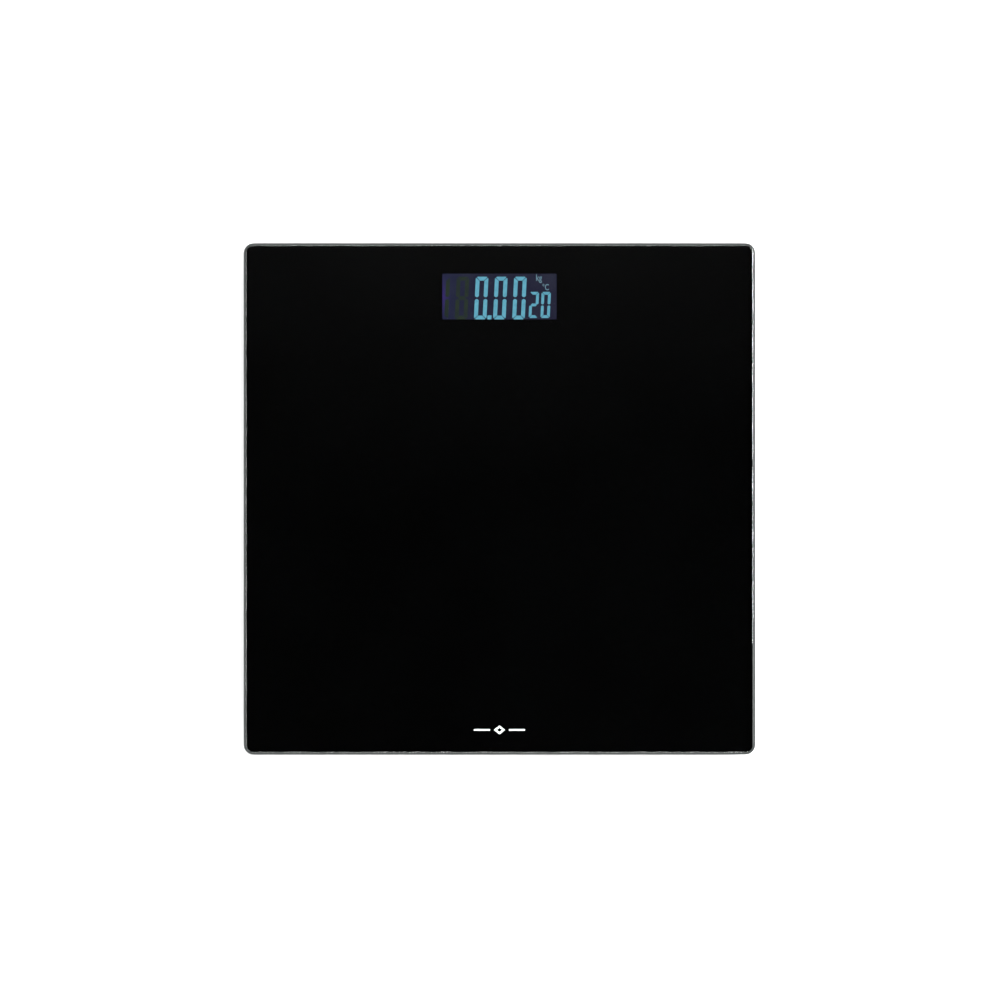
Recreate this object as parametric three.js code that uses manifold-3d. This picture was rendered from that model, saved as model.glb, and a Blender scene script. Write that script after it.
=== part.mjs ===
// Digital bathroom scale: a square tempered-glass platform on four sprung load-cell feet, with a
// display and battery pod glued under the glass and the sensor leads in channels along the sides.
//
// Millimetres, +Z up. The origin is on the floor, under the middle of the glass. +Y points to the
// display end and -Y to the heel end. Distances named low, high, top and bottom are heights or
// places in this frame.

import * as THREE from "three";
import { mergeVertices } from "three/addons/utils/BufferGeometryUtils.js";
import Module from "manifold-3d";

const wasm = await Module();
wasm.setup();

// ---------------------------------------------------------------- driving dimensions

const HEIGHT = 22;
const JOINT = 0.05; // gap between pieces that are glued, soldered or resting on each other
const FIT = 0.3; // clearance round a seated or sliding piece
const SINK = 0.5; // how far a boss, rib or hook reaches into the wall that carries it
const BEYOND = 1; // how far a cutting solid passes the face it cuts

const GLASS = { side: 300, thick: 6, corner: 6, arris: 0.8 };
const PRINT = { thick: 0.2, margin: 1.2 };
const TAPE = { thick: 0.8, inset: 2.5 };
const DISPLAY = { y: 118.7, windowX: 67.2, windowY: 27.1, panelX: 74.5, panelY: 34.5, ledge: 3.2 };
const SHEET = 1.35;

const POD = { x: 108, yLow: 58, yHigh: 141, corner: 10, bottom: 2.3, floor: 2, wall: 1.6, wallTop: 14.6 };
const FRAME = { inset: 2, plate: 1.6, pocketWall: 1, pocketLow: 10.1 };
const BOARD = { x: 84, yLow: 95, yHigh: 137.4, bottom: 8.3, thick: 1.2, post: 2.1, peg: 0.65, hole: 0.85 };
const COVER_SCREW = { head: 2.1, headHigh: 1.6, bottom: 3.2, shank: 1, tip: 11.5, pilot: 1.1, hole: 1.25 };
const BOARD_SCREW = { head: 1.4, headHigh: 1, bottom: 7.2, shank: 0.6, tip: 11.8, pilot: 0.7 };
const BOSS = { radius: 3.2, low: 7, post: 3.6, counterbore: 2.4, seat: 4.9 };
const BUTTON = { x: 32, y: 112, stem: 3.3, flange: 4.4, flangeThick: 0.8, face: 2.6, dish: 8, dishDeep: 0.8 };
const SWITCH = { half: 3, bottom: 6.45, plunger: 1.6, plungerBottom: 5.75 };

const CELL = { radius: 5.25, length: 44.5, edge: 0.5, nub: 0.8, nubRadius: 1.9, z: 9.55, pitch: 11.5 };
const BAY = { x: 49.8, y: 23.4, centreY: 75.7, wall: 1, top: 13.1 };
const CONTACT = { thick: 0.4, halfWidth: 4, low: 5.2, high: 12.8 };
const SPRING = { wire: 0.35, turns: 2.5, stepsPerTurn: 10, wide: 3.6, narrow: 2.4 };
const DOOR = { thick: 1.7, overlap: 1.7, pin: 0.5, pinReach: 1, barrel: 0.85, hingeInset: 0.9 };
const LATCH = { half: 5, inset: 0.3, thick: 1.2, high: 2.6, barbLow: 1, barbHigh: 1.8 };

const FOOT = { at: 116, radius: 27, skirtBottom: 4.6, plate: 1.6, wall: 1.8 };
const CAP = { radius: 23.5, bottom: 1.4, floor: 2, top: 7, wall: 1.6, boss: 4.5, ribTop: 5.4, recess: 0.8 };
const GRIP = { radius: 19.7, chamfer: 0.6, groove: 15, grooveWidth: 1.6, grooveDeep: 0.6 };
const HOOK = { inner: 22.3, thick: 1.2, width: 5, top: 11, barb: 2.7, barbHigh: 1.2, angles: [45, 135, 315] };
const LOAD_CELL = { side: 34, thick: 2, clip: 5, bottom: 8.9, frame: 8, slot: 2, hole: 1.7 };
const GAUGE = { x: -6.6, radius: 3.2, high: 0.95 };

const DUCT = { width: 12, flange: 2, flangeThick: 0.8, wall: 1.3, bottom: 10.5 };
const LEAD = { width: 3.4, thick: 1.1, z: 12.4, spread: 2.1, aroundCell: 22.9 };
const WIRE = { radius: 0.6, z: 12.4 };

// ---------------------------------------------------------------- heights and places from them

const glassBottom = HEIGHT - GLASS.thick;
const printTop = glassBottom - JOINT;
const printBottom = printTop - PRINT.thick;
const tapeTop = printBottom - JOINT;
const tapeBottom = tapeTop - TAPE.thick;
const plateTop = tapeBottom - JOINT;

const podY = (POD.yLow + POD.yHigh) / 2;
const podFloorTop = POD.bottom + POD.floor;
const framePlateBottom = plateTop - FRAME.plate;
const boardTop = BOARD.bottom + BOARD.thick;
const panelTop = printBottom - 0.25;
const panelBottom = panelTop - 2 * SHEET;

const coverScrews = [-46, 46].flatMap((x) => [64, 135].map((y) => [x, y]));
const boardScrews = [[-39.9, 103.5], [39.9, 134.5]];
const boardPegs = [[39.9, 103.5], [-39.9, 134.5]];

const bayLow = BAY.centreY - BAY.y / 2;
const bayHigh = BAY.centreY + BAY.y / 2;
const doorHalfX = BAY.x / 2 + DOOR.overlap;
const doorLow = bayLow - DOOR.overlap;
const doorTop = POD.bottom + DOOR.thick;
const hinge = { y: bayHigh + DOOR.overlap - DOOR.hingeInset, z: POD.bottom + 1 };

const contactX = BAY.x / 2 - JOINT - CONTACT.thick;
const nubX = contactX - 0.1;
const cellY = [-1, 1].map((side) => BAY.centreY + (side * CELL.pitch) / 2);

const footPlateBottom = plateTop - FOOT.plate;
const loadCellTop = LOAD_CELL.bottom + LOAD_CELL.thick;
const capFloorTop = CAP.bottom + CAP.floor;

// ---------------------------------------------------------------- materials

const finish = (color, roughness, metalness = 0) =>
  new THREE.MeshStandardMaterial({ color, roughness, metalness });

const clearGlass = finish(0xd6ebe4, 0.05);
const blackPrint = finish(0x050506, 0.25);
const blackPlastic = finish(0x1b1c1e, 0.55);
const greyRubber = finish(0x3a3b3d, 0.85);
const blackRubber = finish(0x151515, 0.6);
const whiteFoam = finish(0xe4e3dc, 0.9);
const steel = finish(0xb4b6b8, 0.35, 1);
const nickel = finish(0xcfcdc6, 0.25, 1);
const whiteGel = finish(0xf0efe8, 0.45);
const leadJacket = finish(0x8c8c8a, 0.5);
const redJacket = finish(0xb02020, 0.45);
const blackJacket = finish(0x151515, 0.45);
const greenBoard = finish(0x1d5a34, 0.45);
const blackEpoxy = finish(0x0b0b0c, 0.3);
const darkDisplay = finish(0x20202c, 0.15);
const milkyPlastic = finish(0xf2f4f6, 0.4);
const blueSleeve = finish(0x24508c, 0.35, 0.4);

// ---------------------------------------------------------------- making solids

// A closed geometry as a manifold-3d solid.
function solid(geometry) {
  const bare = geometry.clone();
  bare.deleteAttribute("normal");
  bare.deleteAttribute("uv");
  const merged = mergeVertices(bare, 1e-4);
  return new wasm.Manifold(
    new wasm.Mesh({
      numProp: 3,
      vertProperties: new Float32Array(merged.attributes.position.array),
      triVerts: new Uint32Array(merged.index.array),
    }),
  );
}

// A manifold-3d solid as a flat-shaded geometry.
function geometryOf(body) {
  const mesh = body.getMesh();
  const indexed = new THREE.BufferGeometry();
  indexed.setAttribute("position", new THREE.BufferAttribute(mesh.vertProperties, mesh.numProp));
  indexed.setIndex(new THREE.BufferAttribute(mesh.triVerts, 1));
  const flat = indexed.toNonIndexed();
  flat.computeVertexNormals();
  return flat;
}

const join = (first, ...others) => others.reduce((sum, body) => sum.add(body), first);
const cut = (first, ...others) => others.reduce((left, body) => left.subtract(body), first);

// A shape in the XY plane, extruded from z low to z high.
function prism(shape, low, high, curveSegments = 6) {
  const options = { depth: high - low, bevelEnabled: false, curveSegments };
  return solid(new THREE.ExtrudeGeometry(shape, options).translate(0, 0, low));
}

// A box between two opposite corners.
function block([x0, y0, z0], [x1, y1, z1]) {
  const geometry = new THREE.BoxGeometry(x1 - x0, y1 - y0, z1 - z0);
  return solid(geometry.translate((x0 + x1) / 2, (y0 + y1) / 2, (z0 + z1) / 2));
}

// An upright round bar from z low to z high.
function bar(radius, low, high, [x, y] = [0, 0], sides = 24) {
  const geometry = new THREE.CylinderGeometry(radius, radius, high - low, sides);
  return solid(geometry.rotateX(Math.PI / 2).translate(x, y, (low + high) / 2));
}

// A round bar along X, centred on x = 0.
function axle(radius, halfLength, { y, z }, sides = 16) {
  const geometry = new THREE.CylinderGeometry(radius, radius, 2 * halfLength, sides);
  return solid(geometry.rotateZ(Math.PI / 2).translate(0, y, z));
}

// A profile of [radius, z] points, from the bottom axis point to the top one, turned about Z.
function turned(profile, sides) {
  const points = profile.map(([radius, z]) => new THREE.Vector2(radius, z));
  return solid(new THREE.LatheGeometry(points, sides).rotateX(Math.PI / 2));
}

// Points of a quarter round that rises from radius at height low to the axis at low + high.
function quarterRound(radius, low, high, rings) {
  return Array.from({ length: rings + 1 }, (_, i) => {
    const angle = (Math.PI / 2) * (i / rings);
    return [radius * Math.cos(angle), low + high * Math.sin(angle)];
  });
}

// A closed polygon through [x, y] points.
const polygon = (points) => new THREE.Shape(points.map(([x, y]) => new THREE.Vector2(x, y)));

// A rectangle centred on (0, y).
function rectangle(width, depth, y = 0) {
  const [half, low, high] = [width / 2, y - depth / 2, y + depth / 2];
  return polygon([[-half, low], [half, low], [half, high], [-half, high]]);
}

// A rectangle with round corners, centred on (0, y).
function roundedRectangle(width, depth, radius, y = 0) {
  const [right, high] = [width / 2 - radius, depth / 2 - radius];
  const shape = new THREE.Shape();
  shape.absarc(right, y + high, radius, 0, Math.PI / 2);
  shape.absarc(-right, y + high, radius, Math.PI / 2, Math.PI);
  shape.absarc(-right, y - high, radius, Math.PI, 1.5 * Math.PI);
  shape.absarc(right, y - high, radius, 1.5 * Math.PI, 2 * Math.PI);
  shape.closePath();
  return shape;
}

// A square with its four corners clipped off.
function clippedSquare(side, clip) {
  const half = side / 2;
  const near = half - clip;
  const right = [[half, -near], [half, near], [near, half]];
  const left = [[-near, half], [-half, near], [-half, -near]];
  return polygon([...right, ...left, [-near, -half], [near, -half]]);
}

// A regular polygon that stands for a round wire's section.
function roundSection(radius, sides) {
  const angles = Array.from({ length: sides }, (_, i) => (2 * Math.PI * i) / sides);
  return polygon(angles.map((angle) => [radius * Math.cos(angle), radius * Math.sin(angle)]));
}

// A section swept along a smooth curve through the points.
function swept(section, points, steps) {
  const extrudePath = new THREE.CatmullRomCurve3(points.map((p) => new THREE.Vector3(...p)));
  return solid(new THREE.ExtrudeGeometry(section, { steps, extrudePath, bevelEnabled: false }));
}

const scale = new THREE.Group();

// Adds a solid to a group as one named mesh.
function add(name, body, material, parent = scale) {
  const mesh = new THREE.Mesh(geometryOf(body), material);
  mesh.name = name;
  parent.add(mesh);
}

// ---------------------------------------------------------------- platform

// Tempered plate with a flat arris ground along its top and bottom edges.
function glassPlatform() {
  const inner = GLASS.side - 2 * GLASS.arris;
  const geometry = new THREE.ExtrudeGeometry(
    roundedRectangle(inner, inner, GLASS.corner - GLASS.arris),
    {
      depth: GLASS.thick - 2 * GLASS.arris,
      bevelThickness: GLASS.arris,
      bevelSize: GLASS.arris,
      bevelSegments: 1,
      curveSegments: 8,
    },
  );
  return solid(geometry.translate(0, 0, glassBottom + GLASS.arris));
}

// Black enamel printed on the underside, stopping short of the edge and open at the display.
function printedBacking() {
  const side = GLASS.side - 2 * PRINT.margin;
  const film = prism(roundedRectangle(side, side, GLASS.corner - PRINT.margin), printBottom, printTop);
  const window = rectangle(DISPLAY.windowX, DISPLAY.windowY, DISPLAY.y);
  return cut(film, prism(window, printBottom - BEYOND, printTop + BEYOND));
}

add("glass_platform", glassPlatform(), clearGlass);
add("printed_backing", printedBacking(), blackPrint);

// ---------------------------------------------------------------- pod shells

// The pod's outline, taken in by an inset.
function podOutline(inset) {
  const [width, depth] = [POD.x - 2 * inset, POD.yHigh - POD.yLow - 2 * inset];
  return roundedRectangle(width, depth, POD.corner - inset, podY);
}

// The battery bay's outline, let out by a margin.
const bayOutline = (margin) => rectangle(BAY.x + 2 * margin, BAY.y + 2 * margin, BAY.centreY);

// A rectangle round the display panel, let out by a margin.
const panelOutline = (margin) =>
  rectangle(DISPLAY.panelX + 2 * margin, DISPLAY.panelY + 2 * margin, DISPLAY.y);

// A cutting prism right through the pod.
const through = (shape) => prism(shape, 0, HEIGHT);

// Foam tape that holds the frame to the glass, open at the display and over the batteries.
const podTape = () =>
  cut(prism(podOutline(TAPE.inset), tapeBottom, tapeTop), through(panelOutline(1)), through(bayOutline(1)));

// Frame glued under the glass: a plate with a pocket for the display and an opening over the
// batteries, posts and pegs that carry the board, and bosses for the cover's screws.
function podFrame() {
  const [root, pilotEnd] = [framePlateBottom + SINK, framePlateBottom - BEYOND];
  const [postSides, pegSides] = [12, 8];
  const plate = prism(podOutline(FRAME.inset), framePlateBottom, plateTop);
  const rim = prism(panelOutline(FIT + FRAME.pocketWall), FRAME.pocketLow, root);
  const bosses = coverScrews.map((at) => bar(BOSS.radius, BOSS.low, root, at, postSides));
  const posts = [...boardScrews, ...boardPegs].map((at) =>
    bar(BOARD.post, boardTop + JOINT, root, at, postSides),
  );
  const pegs = boardPegs.map((at) => bar(BOARD.peg, BOARD.bottom - SINK, boardTop + SINK, at, pegSides));
  const pilots = [
    ...coverScrews.map((at) => bar(COVER_SCREW.pilot, BOSS.low - BEYOND, pilotEnd, at, postSides)),
    ...boardScrews.map((at) => bar(BOARD_SCREW.pilot, boardTop - BEYOND, pilotEnd, at, pegSides)),
  ];
  const whole = join(plate, rim, ...bosses, ...posts, ...pegs);
  return cut(whole, through(panelOutline(FIT)), through(bayOutline(FIT)), ...pilots);
}

// What the cover is moulded from: side walls and floor, the battery bay's walls, a thicker rim
// round the door, and posts for the screws.
function coverBlank() {
  const [rimMargin, rimTop] = [DOOR.overlap + 1.2, podFloorTop + 1];
  const low = podFloorTop - SINK;
  const cavity = prism(podOutline(POD.wall), podFloorTop, HEIGHT);
  const shell = cut(prism(podOutline(0), POD.bottom, POD.wallTop, 8), cavity);
  const bayWalls = prism(bayOutline(BAY.wall), low, BAY.top);
  const doorRim = prism(bayOutline(rimMargin), low, rimTop);
  const posts = coverScrews.map((at) => bar(BOSS.post, low, BOSS.low - 2 * JOINT, at, 16));
  return join(shell, bayWalls, doorRim, ...posts);
}

// Holes for the door's recess, hinge pins and latch.
function doorHoles() {
  const recess = prism(bayOutline(DOOR.overlap + FIT), 0, podFloorTop);
  const pinHoles = axle(DOOR.pin + 0.15, doorHalfX + DOOR.pinReach + 0.4, hinge);
  const [latchHalf, slotLow, slotDeep, slotTop] = [LATCH.half + 1, doorLow - FIT, 3, podFloorTop + 4];
  const latchSlot = block([-latchHalf, slotLow, 0], [latchHalf, slotLow + slotDeep, slotTop]);
  return [through(bayOutline(0)), recess, pinHoles, latchSlot];
}

// Hole for the unit button, in a shallow dish.
function buttonHoles() {
  const { x, y, dish, dishDeep, stem } = BUTTON;
  const slope = 2;
  const dishTop = POD.bottom + dishDeep;
  const below = POD.bottom - BEYOND;
  const profile = [[0, below], [dish, below], [dish, POD.bottom], [dish - slope, dishTop], [0, dishTop]];
  return [bar(stem + FIT, 0, HEIGHT, [x, y]), turned(profile, 24).translate([x, y, 0])];
}

// Slots that let the sensor leads in at both sides and the battery leads out of the bay.
function leadHoles() {
  const [slotHalf, slotLow] = [5.2, 11.4];
  const [wireHalf, wallX] = [1.2, BAY.x / 2];
  const sensorSlot = block([-POD.x, FOOT.at - slotHalf, slotLow], [POD.x, FOOT.at + slotHalf, HEIGHT]);
  const wireSlots = cellY.map((y) =>
    block([wallX - BEYOND, y - wireHalf, slotLow], [wallX + BAY.wall + BEYOND, y + wireHalf, HEIGHT]),
  );
  return [sensorSlot, ...wireSlots];
}

// Lower shell, screwed up to the frame.
function podCover() {
  const screwHoles = coverScrews.flatMap((at) => [
    bar(BOSS.counterbore, 0, BOSS.seat, at, 16),
    bar(COVER_SCREW.hole, 0, HEIGHT, at, 12),
  ]);
  return cut(coverBlank(), ...doorHoles(), ...buttonHoles(), ...leadHoles(), ...screwHoles);
}

// Battery door: a flush plate with a hinge barrel and two pins at its display edge, and a latch
// and finger notch at its heel edge.
function batteryDoor() {
  const { pin, pinReach, barrel } = DOOR;
  const { half, inset, thick, high, barbLow, barbHigh } = LATCH;
  const plate = block([-doorHalfX, doorLow, POD.bottom], [doorHalfX, hinge.y - 0.2, doorTop]);
  const pins = join(axle(barrel, doorHalfX, hinge), axle(pin, doorHalfX + pinReach, hinge));
  const root = doorTop - SINK;
  const hookLow = doorLow + inset;
  const hook = block([-half, hookLow, root], [half, hookLow + thick, doorTop + high]);
  const barb = block([-half, doorLow, doorTop + barbLow], [half, doorLow + SINK, doorTop + barbHigh]);

  const [ribX, ribHalf, ribTop, ribLow, ribHigh] = [24, 0.5, doorTop + 0.8, doorLow + 3, hinge.y - 3];
  const ribs = [-ribX, ribX].map((x) => block([x - ribHalf, ribLow, root], [x + ribHalf, ribHigh, ribTop]));
  const [notchHalf, notchDeep, notchTop] = [7, 0.8, POD.bottom + 0.6];
  const notch = block([-notchHalf, doorLow - BEYOND, 0], [notchHalf, doorLow + notchDeep, notchTop]);
  return cut(join(plate, pins, hook, barb, ...ribs), notch);
}

// Push button that changes the unit: a stem through the floor and a flange that keeps it in.
function unitButton() {
  const { x, y, stem, flange, flangeThick, face } = BUTTON;
  const low = podFloorTop + JOINT;
  return join(bar(stem, face, low + SINK, [x, y]), bar(flange, low, low + flangeThick, [x, y]));
}

// Self-tapping screw, head down, with a cross recess in its pan head.
function screw({ head, headHigh, bottom, shank, tip }, at) {
  const whole = join(bar(head, bottom, bottom + headHigh, at, 16), bar(shank, bottom + SINK, tip, at, 8));
  const [long, short, recessTop] = [head * 0.55, head * 0.13, bottom + headHigh * 0.45];
  const arms = [[long, short], [short, long]].map(([dx, dy]) =>
    block([at[0] - dx, at[1] - dy, 0], [at[0] + dx, at[1] + dy, recessTop]),
  );
  return cut(whole, ...arms);
}

add("pod_tape", podTape(), whiteFoam);
add("pod_frame", podFrame(), blackPlastic);
add("pod_cover", podCover(), blackPlastic);
add("battery_door", batteryDoor(), blackPlastic);
add("unit_button", unitButton(), greyRubber);
coverScrews.forEach((at, i) => add(`cover_screw_${i + 1}`, screw(COVER_SCREW, at), steel));
boardScrews.forEach((at, i) => add(`board_screw_${i + 1}`, screw(BOARD_SCREW, at), steel));

// ---------------------------------------------------------------- display and board

// A rectangle as wide as the panel that leaves its contact ledge, at the heel side, free.
function ledgeFreeOutline() {
  const { panelX, panelY, ledge, y } = DISPLAY;
  return rectangle(panelX, panelY - ledge, y + ledge / 2);
}

// Two bonded glass sheets. The upper one overhangs at the heel side, where its contacts are.
function displayPanel() {
  const upperBottom = panelTop - SHEET;
  const upper = prism(panelOutline(0), upperBottom, panelTop);
  return join(upper, prism(ledgeFreeOutline(), panelBottom, upperBottom + SHEET / 2));
}

// Light guide behind the panel.
const backlightGuide = () => prism(ledgeFreeOutline(), boardTop + 4 * JOINT, panelBottom - 2 * JOINT);

// Elastomer strip that joins the panel's contacts to the board.
function contactStrip() {
  const [half, width, inset] = [33, 2.2, 0.4];
  const low = DISPLAY.y - DISPLAY.panelY / 2 + inset;
  const top = panelTop - SHEET - JOINT;
  return block([-half, low, boardTop + JOINT], [half, low + width, top]);
}

// Circuit board with holes for its two screws and two pegs.
function mainBoard() {
  const { x, yLow, yHigh, bottom, hole } = BOARD;
  const board = block([-x / 2, yLow, bottom], [x / 2, yHigh, boardTop]);
  return cut(board, ...[...boardScrews, ...boardPegs].map((at) => bar(hole, 0, HEIGHT, at, 8)));
}

// Epoxy dome over the chip on the board's underside.
function chipPotting() {
  const [radius, high, x] = [5.5, 1.3, -14];
  const base = BOARD.bottom - JOINT;
  const profile = [...quarterRound(radius, base, -high, 3).reverse(), [0, base]];
  return turned(profile, 16).translate([x, DISPLAY.y, 0]);
}

// Tact switch under the board, over the unit button.
function unitSwitch() {
  const { half, bottom, plunger, plungerBottom } = SWITCH;
  const { x, y } = BUTTON;
  const body = block([x - half, y - half, bottom], [x + half, y + half, BOARD.bottom - JOINT]);
  return join(body, bar(plunger, plungerBottom, bottom + SINK, [x, y], 16));
}

add("display_panel", displayPanel(), darkDisplay);
add("backlight_guide", backlightGuide(), milkyPlastic);
add("contact_strip", contactStrip(), blackRubber);
add("main_board", mainBoard(), greenBoard);
add("chip_potting", chipPotting(), blackEpoxy);
add("unit_switch", unitSwitch(), blackEpoxy);

// ---------------------------------------------------------------- batteries and their contacts

// AAA cell along X, with its nub towards +X when way is 1 and towards -X when it is -1.
function battery(y, way) {
  const { radius, length, edge, nub, nubRadius, z } = CELL;
  const shoulder = length - nub;
  const can = [[0, 0], [radius - edge, 0], [radius, edge], [radius, shoulder - edge]];
  const cap = [[radius - edge, shoulder], [nubRadius, shoulder], [nubRadius, length], [0, length]];
  const start = way * (nubX - length);
  return turned([...can, ...cap], 24).rotate([0, 90 * way, 0]).translate([start, y, z]);
}

// Flat contact plate at one end of the bay.
function contactPlate(side, low, high) {
  const [near, far] = [side * contactX, side * (contactX + CONTACT.thick)];
  return block([Math.min(near, far), low, CONTACT.low], [Math.max(near, far), high, CONTACT.high]);
}

// Conical coil spring between a contact plate and the flat end of a cell.
function contactSpring(side, y) {
  const { wire, turns, stepsPerTurn, wide, narrow } = SPRING;
  const [start, end] = [contactX - wire - JOINT, CELL.length - nubX + wire + JOINT];
  const steps = turns * stepsPerTurn;
  const points = Array.from({ length: steps + 1 }, (_, i) => {
    const along = i / steps;
    const radius = THREE.MathUtils.lerp(wide, narrow, along);
    const angle = 2 * Math.PI * turns * along;
    const x = side * THREE.MathUtils.lerp(start, end, along);
    return [x, y + radius * Math.cos(angle), CELL.z + radius * Math.sin(angle)];
  });
  return swept(roundSection(wire, 5), points, steps);
}

// Wire from a contact plate, out over the bay's wall, to the board's heel edge at x.
function batteryLead(y, x) {
  const start = contactX + CONTACT.thick + 0.2;
  const boardZ = boardTop + WIRE.radius + 2 * JOINT;
  const out = [[start, y, WIRE.z], [start + 2, y, WIRE.z]];
  const bend = [[x - 1.2, y + 0.9, WIRE.z], [x, y + 3.4, WIRE.z]];
  const down = [[x, BOARD.yLow - 7, WIRE.z - 0.2], [x, BOARD.yLow - 1, boardZ + 0.7]];
  return swept(roundSection(WIRE.radius, 6), [...out, ...bend, ...down, [x, BOARD.yLow + 3, boardZ]], 18);
}

const [firstY, secondY] = cellY;
const { halfWidth } = CONTACT;
add("battery_1", battery(firstY, 1), blueSleeve);
add("battery_2", battery(secondY, -1), blueSleeve);
add("contact_link", contactPlate(-1, firstY - halfWidth, secondY + halfWidth), nickel);
add("contact_positive", contactPlate(1, firstY - halfWidth, firstY + halfWidth), nickel);
add("contact_negative", contactPlate(1, secondY - halfWidth, secondY + halfWidth), nickel);
add("link_spring", contactSpring(-1, firstY), nickel);
add("negative_spring", contactSpring(1, secondY), nickel);
add("battery_lead_positive", batteryLead(firstY, 34), redJacket);
add("battery_lead_negative", batteryLead(secondY, 29.5), blackJacket);

// ---------------------------------------------------------------- feet, each made at the origin

// A box that runs outwards at an angle in degrees, from radius r0 to r1.
function spoke(angle, r0, r1, width, low, high) {
  return block([r0, -width / 2, low], [r1, width / 2, high]).rotate([0, 0, angle]);
}

// Disc of foam tape between the glass and the foot's housing.
const footTape = () => bar(FOOT.radius - 2, tapeBottom, tapeTop);

// Clip on the side of the load cell that faces way, holding the cell's edge from below.
function cellClip(way) {
  const [x0, x1, lipUnder, lipThick, thick] = [6, 11, 0.6, 0.6, 1.2];
  const edge = LOAD_CELL.side / 2;
  const lipTop = LOAD_CELL.bottom - 0.1;
  const side = ([y0, low], [y1, high]) =>
    block([x0, Math.min(way * y0, way * y1), low], [x1, Math.max(way * y0, way * y1), high]);
  const arm = side([edge + 0.2, lipTop - lipThick], [edge + 0.2 + thick, footPlateBottom + SINK]);
  return join(arm, side([edge - lipUnder, lipTop - lipThick], [edge + SINK, lipTop]));
}

// Round housing: a top plate and skirt, a rib that the load cell's frame bears on, two clips,
// windows for the cap's hooks, and lead slots at -X and -Y.
function footHousing() {
  const { radius, wall, skirtBottom } = FOOT;
  const { side, clip, frame } = LOAD_CELL;
  const [ribWidth, ribLow] = [3, loadCellTop + 2 * JOINT];
  const drum = bar(radius, skirtBottom, plateTop);
  const hollow = bar(radius - wall, 0, footPlateBottom);
  const rib = cut(
    prism(clippedSquare(side, clip), ribLow, footPlateBottom + SINK),
    prism(clippedSquare(side - 2 * ribWidth, clip - 1), 0, footPlateBottom),
  );
  const windows = HOOK.angles.map((angle) =>
    spoke(angle, radius - wall - BEYOND, radius + BEYOND, HOOK.width + 1.4, 9.5, 12.6),
  );
  const slots = [180, 270].map((angle) =>
    spoke(angle, frame, radius + BEYOND, DUCT.width + 1, ribLow, footPlateBottom),
  );
  return cut(join(cut(drum, hollow), rib, cellClip(1), cellClip(-1)), ...windows, ...slots);
}

// Stamped steel cell: a square frame with a tongue that bends when the foot pushes it up. The
// tongue's root is at -X.
function loadCell() {
  const { side, clip, bottom, frame, slot, hole } = LOAD_CELL;
  const inner = side / 2 - frame;
  const plate = prism(clippedSquare(side, clip), bottom, loadCellTop);
  const opening = block([-inner - slot / 2, -inner, 0], [inner, inner, HEIGHT]);
  const tongue = block([-side, slot - inner, 0], [inner - slot, inner - slot, HEIGHT]);
  const holeX = (side - frame) / 2;
  const holes = [-holeX, holeX].map((x) => bar(hole, 0, HEIGHT, [x, 0], 12));
  return cut(plate, cut(opening, tongue), ...holes);
}

// Silicone dome over the strain gauge at the tongue's root.
function gaugePotting() {
  const base = loadCellTop + JOINT;
  const dome = quarterRound(GAUGE.radius, base, GAUGE.high, 3);
  return turned([[0, base], ...dome], 16).translate([GAUGE.x, 0, 0]);
}

// Hook on the cap that catches in one of the housing's windows.
function capHook(angle) {
  const { inner, thick, width, top, barb, barbHigh } = HOOK;
  const outer = inner + thick;
  const arm = spoke(angle, inner, outer, width, capFloorTop - SINK, top);
  return join(arm, spoke(angle, outer - SINK, outer + barb, width, top - barbHigh, top));
}

// Cap that carries the grip: floor, rim, a centre boss under the load cell's tongue, three ribs
// and three hooks.
function footCap() {
  const { radius, bottom, top, wall, boss, ribTop, recess } = CAP;
  const drum = cut(bar(radius, bottom, top), bar(radius - wall, capFloorTop, HEIGHT));
  const centre = bar(boss, capFloorTop - SINK, LOAD_CELL.bottom - 2 * JOINT, [0, 0], 18);
  const ribs = [0, 120, 240].map((angle) =>
    spoke(angle, boss - SINK, radius - wall + SINK, 1.2, capFloorTop - SINK, ribTop),
  );
  const whole = join(drum, centre, ...ribs, ...HOOK.angles.map(capHook));
  return cut(whole, bar(GRIP.radius + FIT, 0, bottom + recess));
}

// Rubber disc that stands on the floor, with a ring groove and a chamfered edge.
function footGrip() {
  const { radius, chamfer, groove, grooveWidth, grooveDeep } = GRIP;
  const [near, far] = [groove - grooveWidth / 2, groove + grooveWidth / 2];
  const top = CAP.bottom + CAP.recess - JOINT;
  const underside = [[0, 0], [near, 0], [near, grooveDeep], [far, grooveDeep], [far, 0]];
  return turned([...underside, [radius - chamfer, 0], [radius, chamfer], [radius, top], [0, top]], 24);
}

// Each foot's corner, and the quarter turns that point the housing's lead slots and the load
// cell's tongue root to where the leads leave.
const feet = [
  { name: "display_right", x: 1, y: 1, housingTurns: 0, cellTurns: 0 },
  { name: "display_left", x: -1, y: 1, housingTurns: 1, cellTurns: 2 },
  { name: "heel_left", x: -1, y: -1, housingTurns: 2, cellTurns: 3 },
  { name: "heel_right", x: 1, y: -1, housingTurns: 3, cellTurns: 3 },
];

// A group at a foot's place, turned by quarter turns.
function placedAt({ x, y }, turns) {
  const group = new THREE.Group();
  group.position.set(x * FOOT.at, y * FOOT.at, 0);
  group.rotation.z = turns * (Math.PI / 2);
  scale.add(group);
  return group;
}

for (const foot of feet) {
  const [module, sensor] = [placedAt(foot, foot.housingTurns), placedAt(foot, foot.cellTurns)];
  add(`foot_tape_${foot.name}`, footTape(), whiteFoam, module);
  add(`foot_housing_${foot.name}`, footHousing(), blackPlastic, module);
  add(`foot_cap_${foot.name}`, footCap(), blackPlastic, module);
  add(`foot_grip_${foot.name}`, footGrip(), greyRubber, module);
  add(`load_cell_${foot.name}`, loadCell(), steel, sensor);
  add(`gauge_potting_${foot.name}`, gaugePotting(), whiteGel, sensor);
}

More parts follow.
